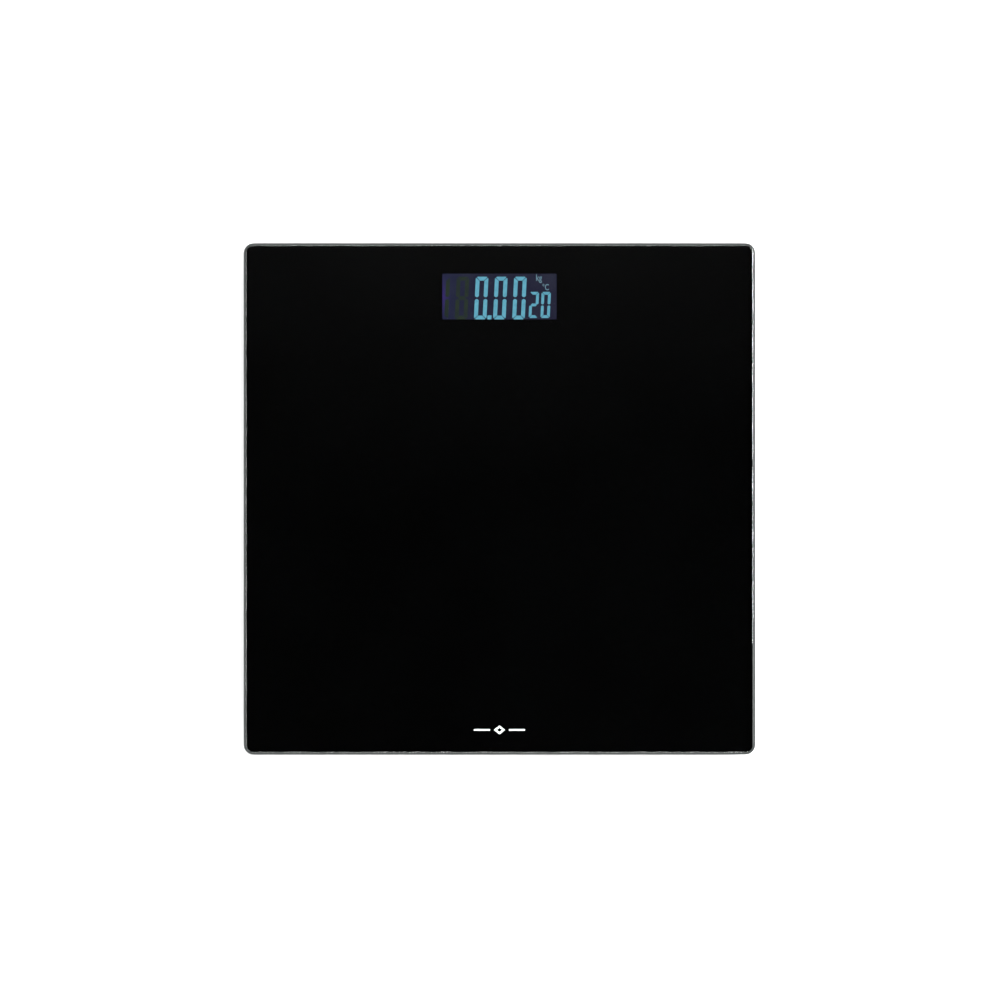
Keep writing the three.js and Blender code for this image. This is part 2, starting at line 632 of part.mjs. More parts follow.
// ---------------------------------------------------------------- channels and sensor leads

// Channel open towards the glass, with a glued flange on each side, from start to end along Y.
function duct(start, end) {
  const { width, flange, flangeThick, wall, bottom } = DUCT;
  const [half, flangeBottom, floor] = [width / 2, tapeTop - flangeThick, bottom + wall - 0.1];
  const outside = [[half, bottom], [half, flangeBottom], [half + flange, flangeBottom]];
  const right = [...outside, [half + flange, tapeTop], [half - wall, tapeTop], [half - wall, floor]];
  const left = right.map(([x, z]) => [-x, z]).reverse();
  const options = { depth: end - start, bevelEnabled: false };
  const geometry = new THREE.ExtrudeGeometry(polygon([...right, ...left]), options);
  return solid(geometry.rotateX(Math.PI / 2).translate(0, end, 0));
}

// The last stretch of a lead at y: out of the channel, through the pod's slot, down to the board.
function intoPod(y) {
  const boardZ = boardTop + LEAD.thick / 2 + 0.15;
  const level = [80, 66, 54].map((x) => [x, y, LEAD.z]);
  return [...level, [50, y, LEAD.z - 0.2], [45, y, boardZ + 0.5], [40.6, y, boardZ]];
}

const gaugeEdge = -GAUGE.x + GAUGE.radius + 0.8;

// Three-core lead of the right display foot, from its gauge to the board.
function displayLead() {
  const [x, z, track] = [FOOT.at - gaugeEdge, LEAD.z, FOOT.at + LEAD.spread];
  const start = [[x, FOOT.at, z], [x - 3, FOOT.at + 0.4, z], [x - 8, track - 0.2, z]];
  return [...start, [x - 13, track, z], ...intoPod(track)];
}

// Three-core lead of the right heel foot: along the side, then round the display foot's cell.
function heelLead() {
  const [y, z, track] = [gaugeEdge - FOOT.at, LEAD.z, FOOT.at - LEAD.spread];
  const start = [[FOOT.at, y, z], [FOOT.at - 0.4, y + 3, z], [track + 0.2, y + 8, z]];
  const along = [y + 13, -60, -20, 20, 60, 85, 89].map((at) => [track, at, z]);
  const arc = [256, 246, 235, 225, 215, 204, 194].map((degrees) => {
    const angle = THREE.MathUtils.degToRad(degrees);
    return [FOOT.at + LEAD.aroundCell * Math.cos(angle), FOOT.at + LEAD.aroundCell * Math.sin(angle), z];
  });
  return [...start, ...along, ...arc, [89, track, z], [85, track, z], ...intoPod(track)];
}

// A section's x is its thickness, so the lead lies flat.
const leadSection = rectangle(LEAD.thick, LEAD.width);
const housingEdge = FOOT.at - FOOT.radius - FIT;
const podEdge = POD.x / 2 + FIT;

for (const [name, side] of [["left", -1], ["right", 1]]) {
  const mirrored = (points) => points.map(([x, y, z]) => [side * x, y, z]);
  const alongSide = duct(-housingEdge, housingEdge).translate([side * FOOT.at, 0, 0]);
  const toPod = duct(podEdge, housingEdge).rotate([0, 0, -side * 90]).translate([0, FOOT.at, 0]);
  add(`side_duct_${name}`, alongSide, blackPlastic);
  add(`pod_duct_${name}`, toPod, blackPlastic);
  add(`lead_display_${name}`, swept(leadSection, mirrored(displayLead()), 24), leadJacket);
  add(`lead_heel_${name}`, swept(leadSection, mirrored(heelLead()), 60), leadJacket);
}

export default scale;
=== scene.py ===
"""Looks of the digital bathroom scale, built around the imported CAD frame. Metres, +Z up."""

import math

import bpy
from mathutils import Matrix, Vector


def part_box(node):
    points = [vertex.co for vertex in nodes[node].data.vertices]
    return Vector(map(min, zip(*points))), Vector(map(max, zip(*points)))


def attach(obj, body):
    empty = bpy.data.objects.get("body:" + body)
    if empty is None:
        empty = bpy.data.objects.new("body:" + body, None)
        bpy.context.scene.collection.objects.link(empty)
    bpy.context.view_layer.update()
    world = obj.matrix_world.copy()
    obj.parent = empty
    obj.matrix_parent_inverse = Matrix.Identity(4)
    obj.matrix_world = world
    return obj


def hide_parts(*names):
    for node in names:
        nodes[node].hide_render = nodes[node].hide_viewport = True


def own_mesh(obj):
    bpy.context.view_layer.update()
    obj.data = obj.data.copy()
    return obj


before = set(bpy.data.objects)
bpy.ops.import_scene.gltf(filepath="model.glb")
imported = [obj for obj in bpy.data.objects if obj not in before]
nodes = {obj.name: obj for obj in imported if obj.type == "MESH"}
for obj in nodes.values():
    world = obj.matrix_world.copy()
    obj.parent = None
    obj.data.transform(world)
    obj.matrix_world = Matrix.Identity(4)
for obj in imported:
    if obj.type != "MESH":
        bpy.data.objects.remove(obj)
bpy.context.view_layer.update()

MM = 0.001
PLATFORM = "platform"
FEET = ["display_right", "display_left", "heel_left", "heel_right"]
SIDES = {"left": -1, "right": 1}


def middle(node):
    """Centre of a CAD node's box."""
    low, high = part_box(node)
    return (low + high) / 2


# -------- places taken from the frame

glass_low, glass_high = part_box("glass_platform")
print_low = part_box("printed_backing")[0]
panel_low, panel_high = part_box("display_panel")
GLASS_HALF = glass_high.x
DISPLAY_Y = middle("display_panel").y

# VIEW is the width seen at the glass, the camera's distance above it and its place over it.
GLASS = {"corner": 6 * MM, "arris": 1.15 * MM, "low_arris": 0.8 * MM, "edge_round": 0.9 * MM}
PRINT = {"margin": 1.0 * MM, "corner": 5 * MM, "bond": 0.02 * MM, "coat": 0.12 * MM}
WINDOW = {"x": 67.0 * MM, "y": 26.8 * MM, "corner": 0.5 * MM}
ORNAMENT_Y = -135.5 * MM
VIEW = {"width": 0.5858, "distance": 3.0, "x": 0.3 * MM, "y": -0.65 * MM}


# -------- material nodes

def new_material(name, colour, roughness, metallic=0.0, **sockets):
    """A Principled material. Sockets are set by their name, with _ for a space."""
    material = bpy.data.materials.new(name)
    material.use_nodes = True
    shader = material.node_tree.nodes["Principled BSDF"]
    shader.inputs["Base Color"].default_value = (*colour, 1)
    shader.inputs["Roughness"].default_value = roughness
    shader.inputs["Metallic"].default_value = metallic
    for socket, value in sockets.items():
        shader.inputs[socket.replace("_", " ")].default_value = value
    return material


def node_in(material, kind, **settings):
    """Adds a shader node and sets its properties."""
    node = material.node_tree.nodes.new(kind)
    for key, value in settings.items():
        setattr(node, key, value)
    return node


def principled(material):
    """The material's Principled shader."""
    return material.node_tree.nodes["Principled BSDF"]


def wire(material, source, target):
    """Links two sockets."""
    material.node_tree.links.new(source, target)


def coordinates(material, stretch=(1, 1, 1)):
    """Object coordinates, in metres, stretched by a factor along each axis."""
    place = node_in(material, "ShaderNodeTexCoord")
    mapping = node_in(material, "ShaderNodeMapping")
    mapping.inputs["Scale"].default_value = stretch
    wire(material, place.outputs["Object"], mapping.inputs["Vector"])
    return mapping.outputs["Vector"]


def noise(material, size, detail=3, stretch=(1, 1, 1)):
    """Noise from 0 to 1 whose blobs are about size across."""
    node = node_in(material, "ShaderNodeTexNoise")
    node.inputs["Scale"].default_value = 1 / size
    node.inputs["Detail"].default_value = detail
    wire(material, coordinates(material, stretch), node.inputs["Vector"])
    return node.outputs["Fac"]


def cells(material, size):
    """Distance to the middle of the nearest of many random cells about size across."""
    node = node_in(material, "ShaderNodeTexVoronoi")
    node.inputs["Scale"].default_value = 1 / size
    wire(material, coordinates(material), node.inputs["Vector"])
    return node.outputs["Distance"]


def remap(material, value, low, high, from_low=0.35, from_high=0.65):
    """A value's middle stretch, spread from low to high and clamped there."""
    node = node_in(material, "ShaderNodeMapRange")
    node.inputs["From Min"].default_value = from_low
    node.inputs["From Max"].default_value = from_high
    node.inputs["To Min"].default_value = low
    node.inputs["To Max"].default_value = high
    wire(material, value, node.inputs["Value"])
    return node.outputs["Result"]


def blend_colours(material, factor, first, second):
    """first where factor is 0, second where it is 1. Each is a colour or a socket."""
    node = node_in(material, "ShaderNodeMix", data_type="RGBA")
    for socket, value in (("A", first), ("B", second)):
        target = [s for s in node.inputs if s.name == socket and s.type == "RGBA"][0]
        if isinstance(value, tuple):
            target.default_value = (*value, 1)
        else:
            wire(material, value, target)
    wire(material, factor, node.inputs["Factor"])
    return [s for s in node.outputs if s.type == "RGBA"][0]


def set_bump(material, height, depth, strength):
    """Bump from a height of 0 to 1, which stands for up to depth."""
    node = node_in(material, "ShaderNodeBump")
    node.inputs["Distance"].default_value = depth
    node.inputs["Strength"].default_value = strength
    wire(material, height, node.inputs["Height"])
    wire(material, node.outputs["Normal"], principled(material).inputs["Normal"])


def clear_where(material, factor, colour=(1, 1, 1)):
    """Makes a material transparent, tinted by a colour, where a factor is 1."""
    clear = node_in(material, "ShaderNodeBsdfTransparent")
    clear.inputs["Color"].default_value = (*colour, 1)
    both = node_in(material, "ShaderNodeMixShader")
    wire(material, factor, both.inputs["Fac"])
    wire(material, principled(material).outputs["BSDF"], both.inputs[1])
    wire(material, clear.outputs["BSDF"], both.inputs[2])
    output = material.node_tree.nodes["Material Output"]
    wire(material, both.outputs["Shader"], output.inputs["Surface"])


def mottle(material, colour, change, size):
    """Base colour that drifts between colour and a changed copy of it."""
    other = tuple(channel * change for channel in colour)
    factor = remap(material, noise(material, size), 0, 1)
    drifting = blend_colours(material, factor, colour, other)
    wire(material, drifting, principled(material).inputs["Base Color"])


def vary_roughness(material, low, high, size):
    """Roughness that drifts from low to high over blobs about size across."""
    drifting = remap(material, noise(material, size, 5), low, high)
    wire(material, drifting, principled(material).inputs["Roughness"])


# -------- materials

def moulded_plastic(name, colour, roughness, grain=0.35 * MM, depth=0.02 * MM):
    """Injection-moulded plastic with a spark-eroded grain."""
    material = new_material(name, colour, roughness)
    mottle(material, colour, 1.35, 18 * MM)
    vary_roughness(material, roughness - 0.07, roughness + 0.09, 9 * MM)
    set_bump(material, noise(material, grain, 4), depth, 0.5)
    return material


def rubber(name, colour):
    """Matt rubber with a dusty bloom and fine pits."""
    material = new_material(name, colour, 0.8, Specular_IOR_Level=0.35)
    mottle(material, colour, 1.7, 5 * MM)
    vary_roughness(material, 0.68, 0.9, 3 * MM)
    set_bump(material, cells(material, 0.5 * MM), 0.03 * MM, 0.6)
    return material


def foam():
    """Closed-cell foam tape."""
    colour = (0.74, 0.73, 0.69)
    material = new_material("foam", colour, 0.9)
    mottle(material, colour, 0.86, 1.5 * MM)
    set_bump(material, cells(material, 0.35 * MM), 0.06 * MM, 0.8)
    return material


def metal(name, colour, roughness, along=(1, 1, 1)):
    """Metal with fine streaks, long along the axis with the smallest factor."""
    material = new_material(name, colour, roughness, 1.0)
    streaks = noise(material, 0.4 * MM, 4, along)
    uneven = remap(material, streaks, roughness - 0.08, roughness + 0.12)
    wire(material, uneven, principled(material).inputs["Roughness"])
    mottle(material, colour, 0.88, 4 * MM)
    set_bump(material, streaks, 0.004 * MM, 0.5)
    return material


def jacket(name, colour):
    """Wire insulation."""
    material = new_material(name, colour, 0.4)
    mottle(material, colour, 0.82, 6 * MM)
    vary_roughness(material, 0.32, 0.5, 2 * MM)
    return material


def clear_glass():
    """Tempered soda-lime glass with a faint green body and barely wiped smears on it. Light passes
    it without being bent on its way to what is underneath."""
    body = (0.9, 0.975, 0.945)
    material = new_material("clear_glass", body, 0.0, Transmission_Weight=1.0, IOR=1.52)
    smears = noise(material, 35 * MM, 6, (1, 2.2, 1))
    wire(material, remap(material, smears, 0.0, 0.035, 0.5, 0.75), principled(material).inputs["Roughness"])
    path = node_in(material, "ShaderNodeLightPath")
    clear_where(material, path.outputs["Is Shadow Ray"], (0.86, 0.93, 0.9))
    return material


def ground_edge_painted_shade():
    """Round arris of the plate, ground to a satin finish before tempering. Its near-black colour is painted
    shade: it stands in for the shaded floor under the edge, which would show through the glass.
    """
    # Painted shade: the arris is near-black so that it looks like the shaded floor under the glass edge.
    colour = (0.014, 0.017, 0.016)
    material = new_material("ground_edge_painted_shade", colour, 0.34, IOR=1.52)
    mottle(material, colour, 1.15, 12 * MM)
    vary_roughness(material, 0.32, 0.36, 1.2 * MM)
    return material


def black_enamel():
    """Black screen print fired on the glass. Nothing is between them to reflect light."""
    colour = (0.0002, 0.0002, 0.00022)
    material = new_material("black_enamel", colour, 0.5, Specular_IOR_Level=0.0)
    mottle(material, colour, 1.6, 60 * MM)
    return material


def back_coat():
    """Dark satin lacquer over the back of the print, with a faint orange peel."""
    colour = (0.026, 0.026, 0.027)
    material = new_material("back_coat", colour, 0.42)
    mottle(material, colour, 1.15, 30 * MM)
    vary_roughness(material, 0.40, 0.45, 12 * MM)
    set_bump(material, noise(material, 0.9 * MM, 3), 0.02 * MM, 0.4)
    return material


def white_ink():
    """White screen ink of slightly uneven cover."""
    colour = (0.72, 0.72, 0.72)
    material = new_material("white_ink", colour, 0.45)
    mottle(material, colour, 0.9, 1.5 * MM)
    set_bump(material, noise(material, 0.2 * MM), 0.004 * MM, 0.5)
    return material


def glow(name, colour, other, size):
    """A display film or segment that is lit from behind, unevenly."""
    dark = (0.001, 0.001, 0.001)
    material = new_material(name, dark, 0.4, Emission_Strength=1.0, Specular_IOR_Level=0.0)
    factor = remap(material, noise(material, size, 2), 0, 1)
    uneven = blend_colours(material, factor, colour, other)
    wire(material, uneven, principled(material).inputs["Emission Color"])
    return material


def display_film():
    """Dark film of a negative display: a dim violet that turns blue towards the left edge, where
    the backlight's lamp leaks."""
    material = glow("display_film", (0.0140, 0.0125, 0.036), (0.0200, 0.0185, 0.044), 9 * MM)
    shader = principled(material)
    base = shader.inputs["Emission Color"].links[0].from_socket
    place = node_in(material, "ShaderNodeTexCoord")
    split = node_in(material, "ShaderNodeSeparateXYZ")
    wire(material, place.outputs["Object"], split.inputs["Vector"])
    blue_haze, violet_lamp = (0.012, 0.016, 0.062), (0.040, 0.020, 0.155)
    left, lamp_reach, lamp_half = -WINDOW["x"] / 2, 5 * MM, 13 * MM
    haze = remap(material, split.outputs["X"], 0.55, 0.0, left, 0.35 * left)
    hazy = blend_colours(material, haze, base, blue_haze)
    near_lamp = remap(material, split.outputs["X"], 1.0, 0.0, left, left + lamp_reach)
    # Ping-pong of Y is highest on the display's middle line and falls off to both sides.
    near_middle = node_in(material, "ShaderNodeMath", operation="PINGPONG")
    wire(material, split.outputs["Y"], near_middle.inputs[0])
    near_middle.inputs[1].default_value = DISPLAY_Y
    beside = remap(material, near_middle.outputs["Value"], 0.0, 1.0, DISPLAY_Y - lamp_half, DISPLAY_Y)
    lamp = node_in(material, "ShaderNodeMath", operation="MULTIPLY")
    wire(material, near_lamp, lamp.inputs[0])
    wire(material, beside, lamp.inputs[1])
    lit = blend_colours(material, lamp.outputs["Value"], hazy, violet_lamp)
    wire(material, lit, shader.inputs["Emission Color"])
    return material


def circuit_board():
    """Green solder mask over a pattern of copper traces."""
    material = new_material("circuit_board", (0.01, 0.09, 0.03), 0.35)
    traces = node_in(material, "ShaderNodeTexBrick")
    traces.inputs["Scale"].default_value = 60
    traces.inputs["Mortar Size"].default_value = 0.012
    traces.inputs["Color1"].default_value = (0.010, 0.085, 0.030, 1)
    traces.inputs["Color2"].default_value = (0.014, 0.110, 0.038, 1)
    traces.inputs["Mortar"].default_value = (0.030, 0.190, 0.060, 1)
    wire(material, coordinates(material), traces.inputs["Vector"])
    wire(material, traces.outputs["Color"], principled(material).inputs["Base Color"])
    set_bump(material, traces.outputs["Fac"], 0.03 * MM, 0.4)
    return material


GLASS_CLEAR = clear_glass()
GLASS_GROUND_SHADE = ground_edge_painted_shade()
ENAMEL = black_enamel()
BACK_COAT = back_coat()
INK = white_ink()
PLASTIC = moulded_plastic("black_plastic", (0.030, 0.0303, 0.0320), 0.48)
DOOR_PLASTIC = moulded_plastic("door_plastic", (0.037, 0.0373, 0.0390), 0.44, 0.3 * MM)
TREAD = rubber("tread_rubber", (0.042, 0.042, 0.043))
BUTTON_RUBBER = rubber("button_rubber", (0.075, 0.076, 0.080))
STRIP_RUBBER = rubber("strip_rubber", (0.02, 0.02, 0.02))
FOAM = foam()
STEEL = metal("rolled_steel", (0.56, 0.56, 0.57), 0.34, (0.08, 1, 1))
SCREW_STEEL = metal("screw_steel", (0.50, 0.50, 0.51), 0.3)
NICKEL = metal("nickel", (0.66, 0.63, 0.57), 0.26)
CAN_STEEL = metal("can_steel", (0.60, 0.59, 0.56), 0.28)
GEL = moulded_plastic("gauge_gel", (0.66, 0.64, 0.58), 0.35, 2 * MM, 0.05 * MM)
EPOXY = moulded_plastic("epoxy", (0.008, 0.008, 0.009), 0.3, 1.5 * MM, 0.05 * MM)
LIGHT_GUIDE = moulded_plastic("light_guide", (0.75, 0.78, 0.80), 0.3, 1 * MM)
SLEEVE_BLUE = jacket("sleeve_blue", (0.012, 0.060, 0.200))
SLEEVE_SILVER = jacket("sleeve_silver", (0.48, 0.49, 0.50))
WIRE_COLOURS = {
    "red": jacket("wire_red", (0.42, 0.02, 0.018)),
    "white": jacket("wire_white", (0.70, 0.69, 0.66)),
    "black": jacket("wire_black", (0.012, 0.012, 0.012)),
}
BOARD = circuit_board()
PANEL_GLASS = new_material("panel_glass", (0.010, 0.010, 0.016), 0.12)
vary_roughness(PANEL_GLASS, 0.08, 0.2, 8 * MM)
FILM = display_film()
LIT = glow("lit_segment", (0.125, 0.385, 0.540), (0.155, 0.455, 0.620), 2.5 * MM)
LIT_MARK = glow("lit_mark", (0.160, 0.290, 0.380), (0.200, 0.330, 0.420), 1.5 * MM)
GHOST = glow("ghost_segment", (0.0155, 0.0245, 0.0205), (0.0215, 0.0330, 0.0200), 6 * MM)


# -------- meshes

def smooth(mesh, degrees=35):
    """Smooth shading, with edges sharper than the angle left crisp."""
    for polygon in mesh.polygons:
        polygon.use_smooth = True
    mesh.set_sharp_from_angle(angle=math.radians(degrees))
    return mesh


def mesh_from(points, faces, degrees=35):
    """A smooth-shaded mesh, crisp where it turns by more than the angle."""
    mesh = bpy.data.meshes.new("piece")
    mesh.from_pydata(points, [], faces)
    return smooth(mesh, degrees)


def linked(name, data):
    """A new object in the scene that shows a mesh, light or camera."""
    thing = bpy.data.objects.new(name, data)
    bpy.context.scene.collection.objects.link(thing)
    return thing


def add_piece(name, mesh, material, body, replaced=(), place=Matrix.Identity(4)):
    """A mesh as a piece that rides on a body. The material is for a mesh that has none yet."""
    piece = linked(name, mesh)
    piece.matrix_world = place
    if not mesh.materials:
        mesh.materials.append(material)
    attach(piece, body)
    if replaced:
        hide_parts(*replaced)
    return piece


def rounded_outline(half_x, half_y, radius, steps=16, centre=(0, 0)):
    """Points anticlockwise round a rectangle with round corners."""
    points = []
    for corner, (sign_x, sign_y) in enumerate([(1, 1), (-1, 1), (-1, -1), (1, -1)]):
        for i in range(steps + 1):
            angle = (corner + i / steps) * math.pi / 2
            x = sign_x * (half_x - radius) + radius * math.cos(angle)
            y = sign_y * (half_y - radius) + radius * math.sin(angle)
            points.append((centre[0] + x, centre[1] + y))
    return points


def rounded_corners(points, radius, steps=4):
    """An open profile with each inner corner rounded by an arc-like curve."""
    out = [Vector(points[0])]
    for before, corner, after in zip(points, points[1:], points[2:]):
        corner = Vector(corner)
        to_before, to_after = Vector(before) - corner, Vector(after) - corner
        reach = min(radius, to_before.length / 2, to_after.length / 2)
        start = corner + to_before.normalized() * reach
        end = corner + to_after.normalized() * reach
        for i in range(steps + 1):
            t = i / steps
            out.append(start * (1 - t) ** 2 + corner * 2 * t * (1 - t) + end * t**2)
    return out + [Vector(points[-1])]


def stacked_loops(loops):
    """A closed skin over loops of the same number of points, with a flat face at each end."""
    points = [point for loop in loops for point in loop]
    count = len(loops[0])
    faces = [tuple(reversed(range(count)))]
    for level in range(len(loops) - 1):
        low, high = level * count, (level + 1) * count
        for i in range(count):
            after = (i + 1) % count
            faces.append((low + i, low + after, high + after, high + i))
    faces.append(tuple(range(len(points) - count, len(points))))
    return points, faces


def turned(profile, sides=96):
    """A profile of (radius, z) from the bottom axis point to the top one, turned about Z."""
    ring = [i * 2 * math.pi / sides for i in range(sides)]
    points, faces, rows = [], [], []
    for radius, z in profile:
        if radius < 0.0001 * MM:
            rows.append([len(points)] * sides)
            points.append((0, 0, z))
        else:
            rows.append(list(range(len(points), len(points) + sides)))
            points += [(radius * math.cos(a), radius * math.sin(a), z) for a in ring]
    for low, high in zip(rows, rows[1:]):
        for i in range(sides):
            after = (i + 1) % sides
            corners = [low[i], low[after], high[after], high[i]]
            faces.append(tuple(dict.fromkeys(corners)))
    return points, [face for face in faces if len(face) > 2]


def mesh_of(curve):
    """The mesh of a curve or text, which isn't linked to the scene."""
    holder = bpy.data.objects.new("holder", curve)
    mesh = bpy.data.meshes.new_from_object(holder)
    bpy.data.objects.remove(holder)
    return mesh


def flat_mesh(outlines, low, high):
    """Outlines filled in XY, an inner one being a hole, from z low to z high."""
    curve = bpy.data.curves.new("outline", "CURVE")
    curve.dimensions = "2D"
    curve.fill_mode = "BOTH"
    curve.extrude = (high - low) / 2
    for outline in outlines:
        spline = curve.splines.new("POLY")
        spline.points.add(len(outline) - 1)
        for point, (x, y) in zip(spline.points, outline):
            point.co = (x, y, 0, 1)
        spline.use_cyclic_u = True
    mesh = mesh_of(curve)
    mesh.transform(Matrix.Translation((0, 0, (low + high) / 2)))
    return smooth(mesh)


def tube_mesh(paths, radius, sides=12):
    """Round wires along lists of points."""
    curve = bpy.data.curves.new("tube", "CURVE")
    curve.dimensions = "3D"
    curve.bevel_depth = radius
    curve.bevel_resolution = sides // 4
    curve.use_fill_caps = True
    for path in paths:
        spline = curve.splines.new("POLY")
        spline.points.add(len(path) - 1)
        for point, co in zip(spline.points, path):
            point.co = (*co, 1)
    return smooth(mesh_of(curve))


def box_mesh(low, high):
    """A box between two corners, used to join or cut."""
    xs, ys, zs = zip(low, high)
    points = [(x, y, z) for z in zs for y in ys for x in xs]
    faces = [(0, 2, 3, 1), (4, 5, 7, 6), (0, 1, 5, 4), (2, 6, 7, 3), (0, 4, 6, 2), (1, 3, 7, 5)]
    return mesh_from(points, faces)


def spoke_mesh(degrees, near, far, width, low, high):
    """A radial box at an angle, from one radius to another."""
    mesh = box_mesh((near, -width / 2, low), (far, width / 2, high))
    mesh.transform(Matrix.Rotation(math.radians(degrees), 4, "Z"))
    return mesh


def combined(base, *steps):
    """base after Boolean steps, each a pair of an operation and a mesh."""
    holder = linked("base", base)
    tools = []
    for operation, mesh in steps:
        tool = linked("tool", mesh)
        modifier = holder.modifiers.new("step", "BOOLEAN")
        modifier.operation = operation
        modifier.object = tool
        modifier.solver = "EXACT"
        tools.append(tool)
    bpy.context.view_layer.update()
    evaluated = holder.evaluated_get(bpy.context.evaluated_depsgraph_get())
    mesh = bpy.data.meshes.new_from_object(evaluated)
    for helper in [holder, *tools]:
        bpy.data.objects.remove(helper)
    return smooth(mesh)


# -------- CAD nodes that stay

def weld_and_smooth_group():
    """Geometry nodes that merge a CAD mesh's doubled points and smooth its round faces."""
    group = bpy.data.node_groups.new("weld_and_smooth", "GeometryNodeTree")
    group.interface.new_socket("Geometry", in_out="INPUT", socket_type="NodeSocketGeometry")
    group.interface.new_socket("Geometry", in_out="OUTPUT", socket_type="NodeSocketGeometry")
    start = group.nodes.new("NodeGroupInput")
    merge = group.nodes.new("GeometryNodeMergeByDistance")
    merge.inputs["Distance"].default_value = 0.001 * MM
    faces = group.nodes.new("GeometryNodeSetShadeSmooth")
    edges = group.nodes.new("GeometryNodeSetShadeSmooth")
    edges.domain = "EDGE"
    edges.inputs["Shade Smooth"].default_value = False
    angle = group.nodes.new("GeometryNodeInputMeshEdgeAngle")
    sharp = group.nodes.new("FunctionNodeCompare")
    sharp.inputs["B"].default_value = math.radians(31)
    end = group.nodes.new("NodeGroupOutput")
    group.links.new(start.outputs[0], merge.inputs["Geometry"])
    group.links.new(merge.outputs[0], faces.inputs["Geometry"])
    group.links.new(faces.outputs[0], edges.inputs["Geometry"])
    group.links.new(angle.outputs["Unsigned Angle"], sharp.inputs["A"])
    group.links.new(sharp.outputs[0], edges.inputs["Selection"])
    group.links.new(edges.outputs[0], end.inputs[0])
    return group


WELD_AND_SMOOTH = weld_and_smooth_group()


def ease_edges(piece, bevel):
    """Smooths a CAD mesh's round faces and, with a bevel width, eases its edges."""
    modifier = piece.modifiers.new("weld", "NODES")
    modifier.node_group = WELD_AND_SMOOTH
    if bevel:
        flatten = piece.modifiers.new("flatten", "DECIMATE")
        flatten.decimate_type = "DISSOLVE"
        flatten.angle_limit = math.radians(0.5)
        ease = piece.modifiers.new("ease", "BEVEL")
        ease.width = bevel
        ease.segments = 3
        ease.limit_method = "ANGLE"
        ease.angle_limit = math.radians(40)
    even = piece.modifiers.new("even", "WEIGHTED_NORMAL")
    even.keep_sharp = True


def dress(node, material, bevel=0.0):
    """Gives a CAD node its material, smooth round faces and, with a bevel width, eased edges."""
    piece = nodes[node]
    piece.data.materials.clear()
    piece.data.materials.append(material)
    ease_edges(piece, bevel)


# -------- platform

def glass_plate():
    """Clear plate whose rounded arrises are ground and whose faces and sides are polished. The arrises take
    a near-black material whose colour paints the shade under the edge.
    """
    top, under, half = GLASS["arris"], GLASS["low_arris"], GLASS_HALF
    low, high = glass_low.z, glass_high.z
    lower_edge = [(under * 3, low), (under, low), (0, low + under)]
    upper_edge = [(0, high - top), (top, high), (top * 3, high)]
    loops = []
    for inset, z in rounded_corners(lower_edge + upper_edge, GLASS["edge_round"]):
        outline = rounded_outline(half - inset, half - inset, GLASS["corner"] - inset)
        loops.append([(x, y, z) for x, y in outline])
    mesh = mesh_from(*stacked_loops(loops), degrees=60)
    mesh.materials.append(GLASS_CLEAR)
    # The sloping faces get the arris material, whose near-black colour is painted shade.
    mesh.materials.append(GLASS_GROUND_SHADE)
    for polygon in mesh.polygons:
        sloping = 0.05 < abs(polygon.normal.z) < 0.99
        polygon.material_index = int(sloping)
    return mesh


def print_layer(low, high):
    """A layer of the print, with the display's window left open."""
    half = GLASS_HALF - PRINT["margin"]
    outer = rounded_outline(half, half, PRINT["corner"])
    window = rounded_outline(WINDOW["x"] / 2, WINDOW["y"] / 2, WINDOW["corner"], 4, (0, DISPLAY_Y))
    return flat_mesh([outer, window], low, high)


def ornament():
    """A plain lozenge between two bars, printed on the glass under the black."""
    size, bar_near, bar_far, bar_half = 2.6 * MM, 5.5 * MM, 15.0 * MM, 0.45 * MM
    lozenge = [(size * 1.25, 0), (0, size), (-size * 1.25, 0), (0, -size)]
    hole = [(x * 0.5, y * 0.5) for x, y in lozenge]
    bar_x, bar_reach = (bar_far + bar_near) / 2, (bar_far - bar_near) / 2
    bars = [
        rounded_outline(bar_reach, bar_half, bar_half * 0.9, 6, (side * bar_x, 0))
        for side in (-1, 1)
    ]
    outlines = [[(x, y + ORNAMENT_Y) for x, y in outline] for outline in [lozenge, hole, *bars]]
    low = glass_low.z + PRINT["bond"]
    return flat_mesh(outlines, low, low + 0.02 * MM)


add_piece("glass_plate", glass_plate(), GLASS_CLEAR, PLATFORM, ["glass_platform"])
coat_top = print_low.z + PRINT["coat"]
enamel = print_layer(coat_top, glass_low.z + PRINT["bond"])
add_piece("back_print", enamel, ENAMEL, PLATFORM, ["printed_backing"])
add_piece("back_coat", print_layer(print_low.z, coat_top), BACK_COAT, PLATFORM)
add_piece("ornament", ornament(), INK, PLATFORM)


# -------- display

BIG_DIGIT = {
    "width": 7.4 * MM, "height": 25.1 * MM, "stroke": 2.3 * MM, "gap": 0.16 * MM, "waist": 1.2 * MM,
}
SMALL_DIGIT = {
    "width": 5.45 * MM, "height": 15.3 * MM, "stroke": 1.65 * MM, "gap": 0.12 * MM, "waist": 0.7 * MM,
}
SLANT = math.tan(math.radians(2.7))
PITCH = 11.23 * MM
BIG_X, BIG_Y = -10.75 * MM, -0.9 * MM
SMALL_X, SMALL_Y, SMALL_PITCH = 20.15 * MM, -4.9 * MM, 6.95 * MM
POINT = {"x": -5.9 * MM, "y": -12.2 * MM, "half": 1.2 * MM, "corner": 0.4 * MM}
FILM_EDGE = {"x": 0.6 * MM, "y": 0.8 * MM, "corner": 0.3 * MM}
THICK = {"film": 0.08 * MM, "ghost": 0.09 * MM, "segment": 0.11 * MM}
ZERO, TWO, EIGHT, RIGHT_ONE = "abcdef", "abged", "abcdefg", "bc"


